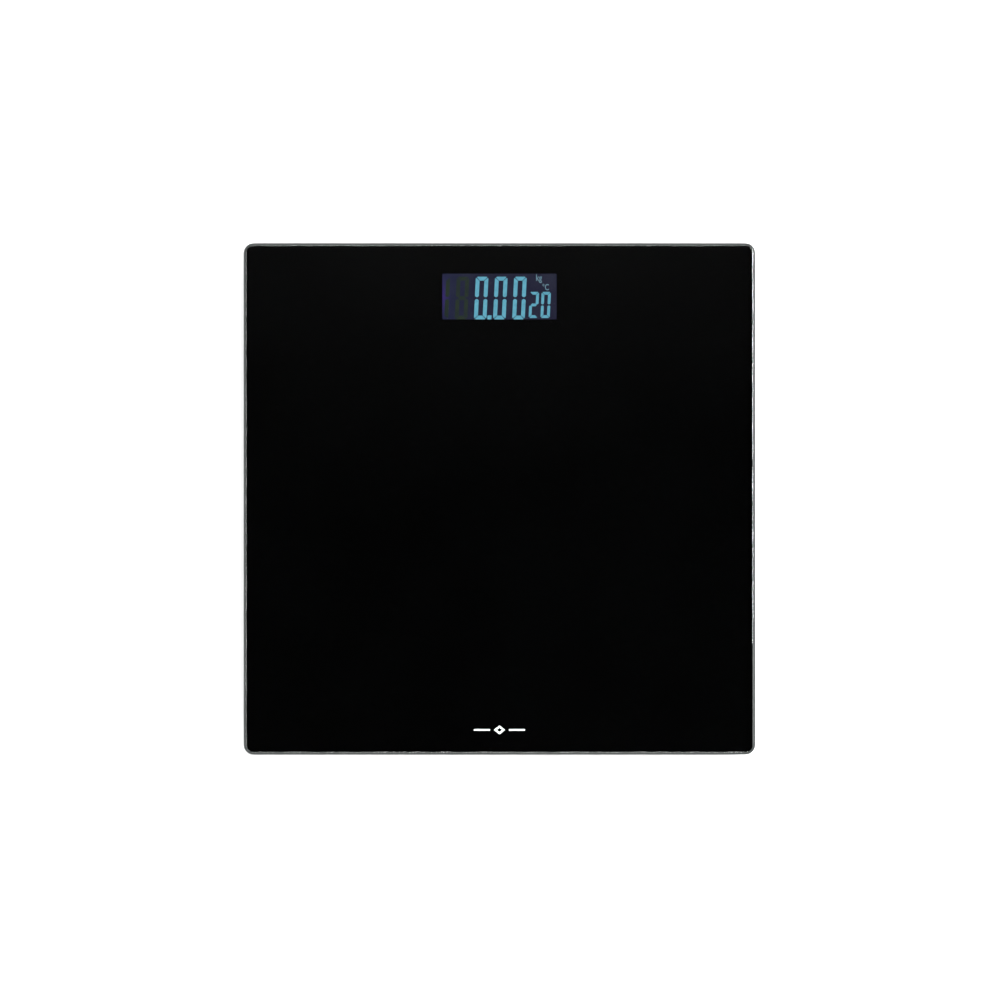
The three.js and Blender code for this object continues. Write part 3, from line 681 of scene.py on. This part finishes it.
def segment_outlines(lit, width, height, stroke, gap, waist):
    """Outlines of the lit segments of a digit centred on (0, 0). a is the top bar and the letters
    go clockwise, with g in the middle."""
    half_w, half_h, cut = width / 2, height / 2, stroke * 0.42
    inner, bar_low = half_w - stroke, half_h - stroke
    bar_end, shoulder, shoulder_y = half_w - cut - gap, half_w - cut * 0.55 - gap, half_h - cut * 0.45
    bar = [
        (-bar_end, half_h), (bar_end, half_h), (shoulder, shoulder_y),
        (inner - gap, bar_low), (gap - inner, bar_low), (-shoulder, shoulder_y),
    ]
    foot, nib = waist / 2, stroke * 0.3
    side = [
        (half_w - cut * 0.4, half_h - cut * 0.6 - gap), (half_w, half_h - cut - gap),
        (half_w, foot + nib), (half_w - nib, foot), (inner + nib, foot), (inner, foot + nib),
        (inner, bar_low - gap),
    ]
    tip, half_stroke = inner + stroke * 0.4, stroke / 2
    middle_bar = [
        (-tip, 0), (-inner, half_stroke), (inner, half_stroke),
        (tip, 0), (inner, -half_stroke), (-inner, -half_stroke),
    ]
    shapes = {
        "a": bar,
        "b": side,
        "c": [(x, -y) for x, y in side],
        "d": [(x, -y) for x, y in bar],
        "e": [(-x, -y) for x, y in side],
        "f": [(-x, y) for x, y in side],
        "g": middle_bar,
    }
    return [shapes[letter] for letter in lit]


def placed(outlines, x, y):
    """Outlines leaned to the right and moved to (x, y) from the window's middle."""
    return [[(x + px + SLANT * py, DISPLAY_Y + y + py) for px, py in outline] for outline in outlines]


def big_digit(lit, place):
    """Outlines of a large digit, counted from the leftmost lit one."""
    return placed(segment_outlines(lit, **BIG_DIGIT), BIG_X + place * PITCH, BIG_Y)


def small_digit(lit, place):
    """Outlines of a small digit, counted from the left one."""
    return placed(segment_outlines(lit, **SMALL_DIGIT), SMALL_X + place * SMALL_PITCH, SMALL_Y)


def decimal_point():
    """Outline of the point after the first lit digit."""
    square = rounded_outline(POINT["half"], POINT["half"], POINT["corner"], 4)
    return placed([square], POINT["x"], POINT["y"])


def unit_mark(text, size, x, y, level):
    """A unit's sign, such as a real display has, in a plain narrow typeface at a level."""
    narrow, half_thick, weight = 0.74, 0.015 * MM, 0.04 * MM
    curve = bpy.data.curves.new("unit", "FONT")
    curve.body = text
    curve.size = size
    curve.extrude = half_thick
    curve.offset = weight
    curve.align_x = "CENTER"
    curve.align_y = "CENTER"
    curve.resolution_u = 6
    mesh = mesh_of(curve)
    mesh.transform(Matrix.Translation((x, DISPLAY_Y + y, level)) @ Matrix.Diagonal((narrow, 1, 1, 1)))
    mesh.materials.clear()
    return smooth(mesh)


def film_outline():
    """The film covers the panel but for a narrow margin."""
    half_x = panel_high.x - FILM_EDGE["x"]
    half_y = (panel_high.y - panel_low.y) / 2 - FILM_EDGE["y"]
    return rounded_outline(half_x, half_y, FILM_EDGE["corner"], 3, (0, DISPLAY_Y))


def display_layer(name, outlines, thick, material):
    """A thin layer on the panel's face, from outlines."""
    mesh = flat_mesh(outlines, panel_high.z, panel_high.z + thick)
    add_piece(name, mesh, material, PLATFORM)


lit_outlines = [outline for place in range(3) for outline in big_digit(ZERO, place)] + decimal_point()
small_outlines = small_digit(TWO, 0) + small_digit(ZERO, 1)
ghost_outlines = big_digit(RIGHT_ONE, -2) + big_digit(EIGHT, -1)
film_top = panel_high.z + THICK["film"]
weight_mark = unit_mark("kg", 5.4 * MM, 23.1 * MM, 10.9 * MM, film_top)
degrees_mark = unit_mark("°C", 5.0 * MM, 27.1 * MM, 5.3 * MM, film_top)

dress("display_panel", PANEL_GLASS)
display_layer("display_film", [film_outline()], THICK["film"], FILM)
display_layer("lit_digits", lit_outlines, THICK["segment"], LIT)
display_layer("lit_small_digits", small_outlines, THICK["segment"], LIT)
display_layer("ghost_digits", ghost_outlines, THICK["ghost"], GHOST)
add_piece("unit_weight", weight_mark, LIT_MARK, PLATFORM)
add_piece("unit_degrees", degrees_mark, LIT_MARK, PLATFORM)

dress("backlight_guide", LIGHT_GUIDE, 0.15 * MM)
dress("contact_strip", STRIP_RUBBER, 0.15 * MM)
dress("main_board", BOARD, 0.08 * MM)
dress("chip_potting", EPOXY)
dress("unit_switch", EPOXY, 0.1 * MM)


# -------- pod

dress("pod_tape", FOAM)
dress("pod_frame", PLASTIC, 0.15 * MM)
dress("pod_cover", PLASTIC, 0.35 * MM)
dress("battery_door", DOOR_PLASTIC, 0.2 * MM)
dress("unit_button", BUTTON_RUBBER, 0.4 * MM)


def door_ridges():
    """Raised grip ridges beside the door's finger notch."""
    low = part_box("battery_door")[0]
    count, half_length, pitch, radius = 5, 7 * MM, 1.8 * MM, 0.35 * MM
    first_y, z = low.y + 4 * MM, low.z + 0.05 * MM
    ridge_ys = [first_y + i * pitch for i in range(count)]
    return tube_mesh([[(-half_length, y, z), (half_length, y, z)] for y in ridge_ys], radius)


def screw_mesh(node):
    """Pan-head screw, head down, with a cross recess. It stands where the CAD screw does."""
    low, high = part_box(node)
    radius, length = (high.x - low.x) / 2, high.z - low.z
    head, shank = 1.6 / 2.1 * radius, radius * 0.45
    pan = [(0, 0), (radius * 0.55, 0.02 * head), (radius, head * 0.55), (radius, head)]
    dome = rounded_corners(pan, radius * 0.4)
    profile = [*dome, (shank, head), (shank, length * 0.9), (shank * 0.3, length), (0, length)]
    arm, thick, deep = radius * 0.6, radius * 0.14, head * 0.5
    cutters = [box_mesh((-x, -y, -head), (x, y, deep)) for x, y in ((arm, thick), (thick, arm))]
    return combined(mesh_from(*turned(profile, 48)), *[("DIFFERENCE", cutter) for cutter in cutters])


def add_screws(family, count):
    """Detailed screws in place of a family of CAD ones, each turned its own way."""
    shape = screw_mesh(f"{family}_1")
    for number in range(1, count + 1):
        node = f"{family}_{number}"
        centre = middle(node)
        spin = Matrix.Rotation(math.radians(37 * number), 4, "Z")
        place = Matrix.Translation((centre.x, centre.y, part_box(node)[0].z)) @ spin
        add_piece(f"{node}_detail", shape, SCREW_STEEL, PLATFORM, [node], place)


add_piece("door_ridges", door_ridges(), DOOR_PLASTIC, "battery_door")
add_screws("cover_screw", 4)
add_screws("board_screw", 2)


# -------- batteries and contacts

def along_x(mesh, way, x, y, z):
    """Turns a mesh made along Z to lie along X, pointing way, from x."""
    mesh.transform(Matrix.Rotation(way * math.pi / 2, 4, "Y"))
    mesh.transform(Matrix.Translation((x, y, z)))
    return mesh


def battery_pieces(number, way):
    """Steel can with its nub, and a printed sleeve round it in two plain colours."""
    node = f"battery_{number}"
    low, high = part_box(node)
    centre = middle(node)
    radius, length = (high.z - low.z) / 2, high.x - low.x
    start = low.x if way > 0 else high.x
    nub, nub_radius, skin, sides = 0.8 * MM, 1.9 * MM, 0.12 * MM, 64
    shoulder, core = length - nub, radius - skin
    can = [
        (0, 0), (core, 0), (core, shoulder),
        (nub_radius, shoulder), (nub_radius, length), (0, length),
    ]
    solid = turned(rounded_corners(can, 0.35 * MM), sides)
    mesh = along_x(mesh_from(*solid), way, start, centre.y, centre.z)
    add_piece(f"{node}_can", mesh, CAN_STEEL, PLATFORM, [node])

    split, margin = length * 0.72, 0.25 * MM
    bands = {
        "blue": (margin, split, SLEEVE_BLUE),
        "silver": (split, shoulder - margin, SLEEVE_SILVER),
    }
    for colour, (from_z, to_z, material) in bands.items():
        wrap = [(core - skin, from_z), (radius, from_z), (radius, to_z), (core - skin, to_z)]
        tube = turned([*rounded_corners(wrap, 0.1 * MM), wrap[0]], sides)
        mesh = along_x(mesh_from(*tube), way, start, centre.y, centre.z)
        add_piece(f"{node}_{colour}_band", mesh, material, PLATFORM)


def spring_mesh(node, side, battery):
    """Conical contact spring as long as the CAD one, on a battery's axis, wide end outwards."""
    low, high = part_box(node)
    axis = middle(battery)
    wire_radius, turns, steps = 0.35 * MM, 3.5, 24
    wide, narrow, closed = 3.6 * MM, 2.4 * MM, 0.2
    outer, inner = (high.x, low.x) if side > 0 else (low.x, high.x)
    start, end = outer - side * wire_radius, inner + side * wire_radius
    path = []
    for i in range(int(turns * steps) + 1):
        along = i / (turns * steps)
        rise = min(max((along - closed) / (1 - 2 * closed), 0), 1)
        radius = wide + (narrow - wide) * along
        angle = 2 * math.pi * turns * along
        x = start + (end - start) * rise
        path.append((x, axis.y + radius * math.cos(angle), axis.z + radius * math.sin(angle)))
    return tube_mesh([path], wire_radius)


battery_pieces(1, 1)
battery_pieces(2, -1)
for node, side, battery in (("link_spring", -1, "battery_1"), ("negative_spring", 1, "battery_2")):
    coil = spring_mesh(node, side, battery)
    add_piece(f"{node}_coil", coil, NICKEL, PLATFORM, [node])
for node in ("contact_link", "contact_positive", "contact_negative"):
    dress(node, NICKEL, 0.1 * MM)


# -------- feet

FOOT_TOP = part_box("foot_housing_display_right")[1].z
FOOT = {"radius": 27 * MM, "wall": 1.8 * MM, "low": 4.6 * MM, "plate": 1.6 * MM}
CAP = {
    "radius": 23.5 * MM, "wall": 1.6 * MM, "low": 1.4 * MM, "seat": 2.2 * MM, "floor": 3.4 * MM,
    "top": 7 * MM, "boss": 4.5 * MM, "boss_top": 8.8 * MM,
}
CAP_RIB = {"angles": [0, 120, 240], "width": 1.2 * MM, "top": 5.4 * MM}
GRIP = {"radius": 19.7 * MM, "top": 2.15 * MM, "play": 0.3 * MM, "chamfer": 0.6 * MM}
GROOVE = {"first": 4.5 * MM, "pitch": 4 * MM, "count": 4, "half": 0.55 * MM, "deep": 0.6 * MM}
HOOK = {"angles": [45, 135, 315], "inner": 22.3 * MM, "thick": 1.2 * MM, "width": 5 * MM, "top": 11 * MM}
BARB = {"reach": 2.7 * MM, "high": 1.2 * MM}
HOOK_WINDOW = {"width": 6.4 * MM, "low": 9.5 * MM, "high": 12.6 * MM}
LEAD_SLOT = {"angles": [180, 270], "near": 8 * MM, "width": 13 * MM}
CELL = {"half": 17 * MM, "clip": 5 * MM, "bevel": 0.12 * MM}
RIB = {"thick": 3 * MM, "low": 11 * MM, "inner_clip": 4 * MM}
# EASE rounds the moulded rims. PAST is how far a cutter reaches beyond what it cuts.
EASE, PAST, ROUND_SIDES = 0.5 * MM, 1 * MM, 120


def clipped_block(half, clip, low, high):
    """A square block with its four corners cut off at 45 degrees."""
    near, square = half - clip, []
    for turn in range(4):
        spin = Matrix.Rotation(turn * math.pi / 2, 2)
        square += [spin @ Vector((half, near)), spin @ Vector((near, half))]
    return mesh_from(*stacked_loops([[(*point, z) for point in square] for z in (low, high)]))


def housing_mesh():
    """Round housing with eased rims, the cap hooks' windows, lead slots at -X and -Y and the rib
    that the load cell's frame bears on."""
    radius, inner, low = FOOT["radius"], FOOT["radius"] - FOOT["wall"], FOOT["low"]
    under = FOOT_TOP - FOOT["plate"]
    outline = [(0, under), (inner, under), (inner, low), (radius, low), (radius, FOOT_TOP), (0, FOOT_TOP)]
    shell = mesh_from(*turned(rounded_corners(outline, EASE), ROUND_SIDES))
    outer_rib = clipped_block(CELL["half"], CELL["clip"], RIB["low"], under + EASE)
    inner_rib = clipped_block(CELL["half"] - RIB["thick"], RIB["inner_clip"], 0, under)
    rib = combined(outer_rib, ("DIFFERENCE", inner_rib))
    far, window, slot = radius + PAST, HOOK_WINDOW, LEAD_SLOT
    cutters = [
        spoke_mesh(angle, inner - PAST, far, window["width"], window["low"], window["high"])
        for angle in HOOK["angles"]
    ]
    cutters += [
        spoke_mesh(angle, slot["near"], far, slot["width"], RIB["low"], under)
        for angle in slot["angles"]
    ]
    return combined(shell, ("UNION", rib), *[("DIFFERENCE", cutter) for cutter in cutters])


def cup_mesh():
    """Foot cap with a turned-in seat for the tread, a centre boss, ribs and snap hooks."""
    radius, low, floor, top = CAP["radius"], CAP["low"], CAP["floor"], CAP["top"]
    seat, seat_radius = CAP["seat"], GRIP["radius"] + GRIP["play"]
    inner, boss, root = radius - CAP["wall"], CAP["boss"], floor - EASE
    outline = [
        (0, seat), (seat_radius, seat), (seat_radius, low), (radius, low), (radius, top),
        (inner, top), (inner, floor), (boss, floor), (boss, CAP["boss_top"]), (0, CAP["boss_top"]),
    ]
    cup = mesh_from(*turned(rounded_corners(outline, EASE), ROUND_SIDES))
    width, hook_top, outer = HOOK["width"], HOOK["top"], HOOK["inner"] + HOOK["thick"]
    barb_far, barb_low = outer + BARB["reach"], hook_top - BARB["high"]
    joined = []
    for angle in HOOK["angles"]:
        joined.append(spoke_mesh(angle, HOOK["inner"], outer, width, root, hook_top))
        joined.append(spoke_mesh(angle, outer - EASE, barb_far, width, barb_low, hook_top))
    for angle in CAP_RIB["angles"]:
        joined.append(spoke_mesh(angle, boss - EASE, inner + EASE, CAP_RIB["width"], root, CAP_RIB["top"]))
    return combined(cup, *[("UNION", mesh) for mesh in joined])


def tread_mesh():
    """Rubber disc with ring grooves and a chamfered edge."""
    radius, chamfer, top = GRIP["radius"], GRIP["chamfer"], GRIP["top"]
    half, deep, slope = GROOVE["half"], GROOVE["deep"], 0.15 * MM
    profile = [(0, 0)]
    for i in range(GROOVE["count"]):
        groove = GROOVE["first"] + i * GROOVE["pitch"]
        near, far = groove - half, groove + half
        profile += [(near, 0), (near + slope, deep), (far - slope, deep), (far, 0)]
    profile += [(radius - chamfer, 0), (radius, chamfer), (radius, top), (0, top)]
    return mesh_from(*turned(rounded_corners(profile, 0.15 * MM, 3)))


def load_cell_piece(foot):
    """The load cell's plate, with eased edges."""
    node = f"load_cell_{foot}"
    mesh = nodes[node].data.copy()
    mesh.materials.clear()
    piece = add_piece(f"{node}_plate", mesh, STEEL, PLATFORM, [node])
    ease_edges(piece, CELL["bevel"])
    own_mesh(piece)


def add_foot(foot, quarter, housing, cup, tread):
    """A foot's shell, cap, tread, tape and load cell, turned by a number of quarter turns."""
    centre = middle(f"foot_grip_{foot}")
    spin = Matrix.Rotation(quarter * math.pi / 2, 4, "Z")
    place = Matrix.Translation((centre.x, centre.y, 0)) @ spin
    body, shell_node = f"foot_{foot}", f"foot_housing_{foot}"
    add_piece(f"foot_shell_{foot}", housing, PLASTIC, PLATFORM, [shell_node], place)
    add_piece(f"foot_cup_{foot}", cup, PLASTIC, body, [f"foot_cap_{foot}"], place)
    add_piece(f"foot_tread_{foot}", tread, TREAD, body, [f"foot_grip_{foot}"], place)
    dress(f"foot_tape_{foot}", FOAM)
    load_cell_piece(foot)
    dress(f"gauge_potting_{foot}", GEL)


foot_meshes = (housing_mesh(), cup_mesh(), tread_mesh())
for quarter, foot in enumerate(FEET):
    add_foot(foot, quarter, *foot_meshes)


# -------- channels and wires

LEAD_Z, LEAD_SPREAD, LEAD_ARC = 12.4 * MM, 2.1 * MM, 22.9 * MM
WIRE_PITCH, SENSOR_WIRE, BATTERY_WIRE = 1.15 * MM, 0.5 * MM, 0.58 * MM
GAUGE_EDGE = 10.6 * MM
FOOT_AT = middle("foot_grip_display_right").x
BOARD_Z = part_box("main_board")[1].z + 0.7 * MM
BOARD_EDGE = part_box("main_board")[0].y


def curve_through(points, spacing=1.5 * MM):
    """Points at about even spacing on a smooth curve through the given ones."""
    ends = [2 * points[0] - points[1], *points, 2 * points[-1] - points[-2]]
    out = []
    for before, start, end, after in zip(ends, ends[1:], ends[2:], ends[3:]):
        count = max(2, round((end - start).length / spacing))
        for i in range(count):
            t = i / count
            line = 2 * start + (end - before) * t
            bend = (2 * before - 5 * start + 4 * end - after) * t**2
            out.append((line + bend + (3 * start - before - 3 * end + after) * t**3) / 2)
    return out + [points[-1]]


def into_pod(y):
    """A lead's last stretch: along the channel, through the pod's slot and down to the board."""
    level = [(x * MM, y, LEAD_Z) for x in (80, 66, 54)]
    slot, over_board = (50 * MM, y, LEAD_Z - 0.2 * MM), (45 * MM, y, BOARD_Z + 0.5 * MM)
    return [*level, slot, over_board, (40.6 * MM, y, BOARD_Z)]


def display_route():
    """The right display foot's lead, from its gauge to the board."""
    x, track = FOOT_AT - GAUGE_EDGE, FOOT_AT + LEAD_SPREAD
    flat = [
        (x, FOOT_AT), (x - 3 * MM, FOOT_AT + 0.4 * MM),
        (x - 8 * MM, track - 0.2 * MM), (x - 13 * MM, track),
    ]
    return [(px, py, LEAD_Z) for px, py in flat] + into_pod(track)


def heel_route():
    """The right heel foot's lead: along the side, then round the display foot's load cell."""
    y, track = GAUGE_EDGE - FOOT_AT, FOOT_AT - LEAD_SPREAD
    flat = [
        (FOOT_AT, y), (FOOT_AT - 0.4 * MM, y + 3 * MM),
        (track + 0.2 * MM, y + 8 * MM), (track, y + 13 * MM),
    ]
    flat += [(track, at * MM) for at in (-60, -20, 20, 60, 85, 89)]
    for degrees in (256, 246, 235, 225, 215, 204, 194):
        angle = math.radians(degrees)
        flat.append((FOOT_AT + LEAD_ARC * math.cos(angle), FOOT_AT + LEAD_ARC * math.sin(angle)))
    flat += [(89 * MM, track), (85 * MM, track)]
    return [(px, py, LEAD_Z) for px, py in flat] + into_pod(track)


def three_wires(name, route, side, replaced):
    """Red, white and black wires side by side along a route that is mirrored for the left."""
    centre = curve_through([Vector((side * x, y, z)) for x, y, z in route])
    for lane, (colour, material) in enumerate(WIRE_COLOURS.items()):
        path = []
        for i, point in enumerate(centre):
            ahead = centre[min(i + 1, len(centre) - 1)] - centre[max(i - 1, 0)]
            across = Vector((-ahead.y, ahead.x, 0)).normalized()
            path.append(point + across * (lane - 1) * WIRE_PITCH)
        mesh = tube_mesh([path], SENSOR_WIRE, 8)
        stands_for = replaced if lane == 0 else ()
        add_piece(f"{name}_{colour}", mesh, material, PLATFORM, stands_for)


for side_name, side in SIDES.items():
    for kind, route in (("display", display_route()), ("heel", heel_route())):
        lead = f"lead_{kind}_{side_name}"
        three_wires(lead, route, side, [lead])
    dress(f"side_duct_{side_name}", PLASTIC, 0.25 * MM)
    dress(f"pod_duct_{side_name}", PLASTIC, 0.25 * MM)


def battery_wire(node, colour, battery, x):
    """Round wire from a contact plate, out over the bay's wall, to the board's heel edge at x."""
    start, y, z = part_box(node)[0].x, middle(battery).y, LEAD_Z
    points = [
        (start, y, z), (start + 2 * MM, y, z), (x - 1.2 * MM, y + 0.9 * MM, z), (x, y + 3.4 * MM, z),
        (x, BOARD_EDGE - 7 * MM, z - 0.2 * MM), (x, BOARD_EDGE - 1 * MM, BOARD_Z + 0.7 * MM),
        (x, BOARD_EDGE + 3 * MM, BOARD_Z),
    ]
    path = curve_through([Vector(point) for point in points], 0.8 * MM)
    mesh = tube_mesh([path], BATTERY_WIRE)
    add_piece(f"{node}_wire", mesh, WIRE_COLOURS[colour], PLATFORM, [node])


battery_wire("battery_lead_positive", "red", "battery_1", 34 * MM)
battery_wire("battery_lead_negative", "black", "battery_2", 29.5 * MM)


# -------- floor, light and camera

def one_sided_paper():
    """Pale paper that is clear from below, and to light on its way up, so that the underside can be
    looked at too."""
    material = new_material("studio_floor", (0.9, 0.9, 0.9), 0.7, Specular_IOR_Level=0.2)
    path = node_in(material, "ShaderNodeLightPath")
    side = node_in(material, "ShaderNodeNewGeometry")
    either = node_in(material, "ShaderNodeMath", operation="MAXIMUM")
    wire(material, side.outputs["Backfacing"], either.inputs[0])
    wire(material, path.outputs["Is Shadow Ray"], either.inputs[1])
    clear_where(material, either.outputs["Value"])
    return material


def floor(half):
    """A large plain pale floor."""
    corners = [(-half, -half, 0), (half, -half, 0), (half, half, 0), (-half, half, 0)]
    mesh = mesh_from(corners, [(0, 1, 2, 3)])
    mesh.materials.append(one_sided_paper())
    linked("studio_floor", mesh)


def softbox(name, place, size, power):
    """A square area light that faces the scale."""
    data = bpy.data.lights.new(name, "AREA")
    data.shape = "SQUARE"
    data.size = size
    data.energy = power
    light = linked(name, data)
    light.location = place
    light.rotation_euler = (-Vector(place)).to_track_quat("-Z", "Y").to_euler()


def sky_levels(tree, upward):
    """The sky's brightness by height. Upward is -1 straight down, 0 at the horizon and 1 overhead."""
    levels = [
        (-1, 2.3), (-0.02, 2.3), (0, 1), (0.08, 0.6),
        (0.3, 0.5), (0.6, 0.2), (0.9, 0.03), (1, 0.008),
    ]
    height = tree.nodes.new("ShaderNodeMapRange")
    height.inputs["From Min"].default_value = -1
    tree.links.new(upward, height.inputs["Value"])
    ramp = tree.nodes.new("ShaderNodeValToRGB")
    tree.links.new(height.outputs["Result"], ramp.inputs["Fac"])
    for _ in levels[2:]:
        ramp.color_ramp.elements.new(1)
    for element, (place, level) in zip(ramp.color_ramp.elements, levels):
        element.position = (place + 1) / 2
        element.color = (level, level, level, 1)
    return ramp.outputs["Color"]


def sky_glow(tree, direction):
    """One faint round glow, high up beyond the display edge."""
    towards, full_within, gone_beyond, level = (0, 0.16, 0.987), 0.05, 0.17, 0.13
    away = tree.nodes.new("ShaderNodeVectorMath")
    away.operation = "DISTANCE"
    away.inputs[1].default_value = towards
    tree.links.new(direction, away.inputs[0])
    fade = tree.nodes.new("ShaderNodeMapRange")
    fade.interpolation_type = "SMOOTHSTEP"
    fade.inputs["From Min"].default_value = full_within
    fade.inputs["From Max"].default_value = gone_beyond
    fade.inputs["To Min"].default_value = level
    fade.inputs["To Max"].default_value = 0
    tree.links.new(away.outputs["Value"], fade.inputs["Value"])
    return fade.outputs["Result"]


def studio_world():
    """Nearly black overhead, so that the glass stays black from above, white at the horizon, and
    brighter below it, so that the underside can be seen."""
    world = bpy.data.worlds.new("studio")
    bpy.context.scene.world = world
    world.use_nodes = True
    tree = world.node_tree
    place = tree.nodes.new("ShaderNodeTexCoord")
    split = tree.nodes.new("ShaderNodeSeparateXYZ")
    tree.links.new(place.outputs["Generated"], split.inputs["Vector"])
    total = tree.nodes.new("ShaderNodeVectorMath")
    tree.links.new(sky_levels(tree, split.outputs["Z"]), total.inputs[0])
    tree.links.new(sky_glow(tree, place.outputs["Generated"]), total.inputs[1])
    tree.links.new(total.outputs["Vector"], tree.nodes["Background"].inputs["Color"])


def camera():
    """Looks straight down, from far enough that the sides don't show."""
    data = bpy.data.cameras.new("camera")
    data.angle = 2 * math.atan(VIEW["width"] / 2 / VIEW["distance"])
    data.clip_end = 50
    view = linked("camera", data)
    view.location = (VIEW["x"], VIEW["y"], glass_high.z + VIEW["distance"])
    bpy.context.scene.camera = view


floor(half=12)
softbox("key_right", (1.05, 0.3, 1.75), 0.8, 88)
softbox("fill_left", (-1.1, -0.2, 1.75), 1.1, 22)
softbox("back", (-0.2, 1.15, 1.75), 1.0, 20)
softbox("front", (0.1, -1.2, 1.75), 1.0, 26)
studio_world()
camera()
bpy.context.scene.view_settings.view_transform = "Standard"
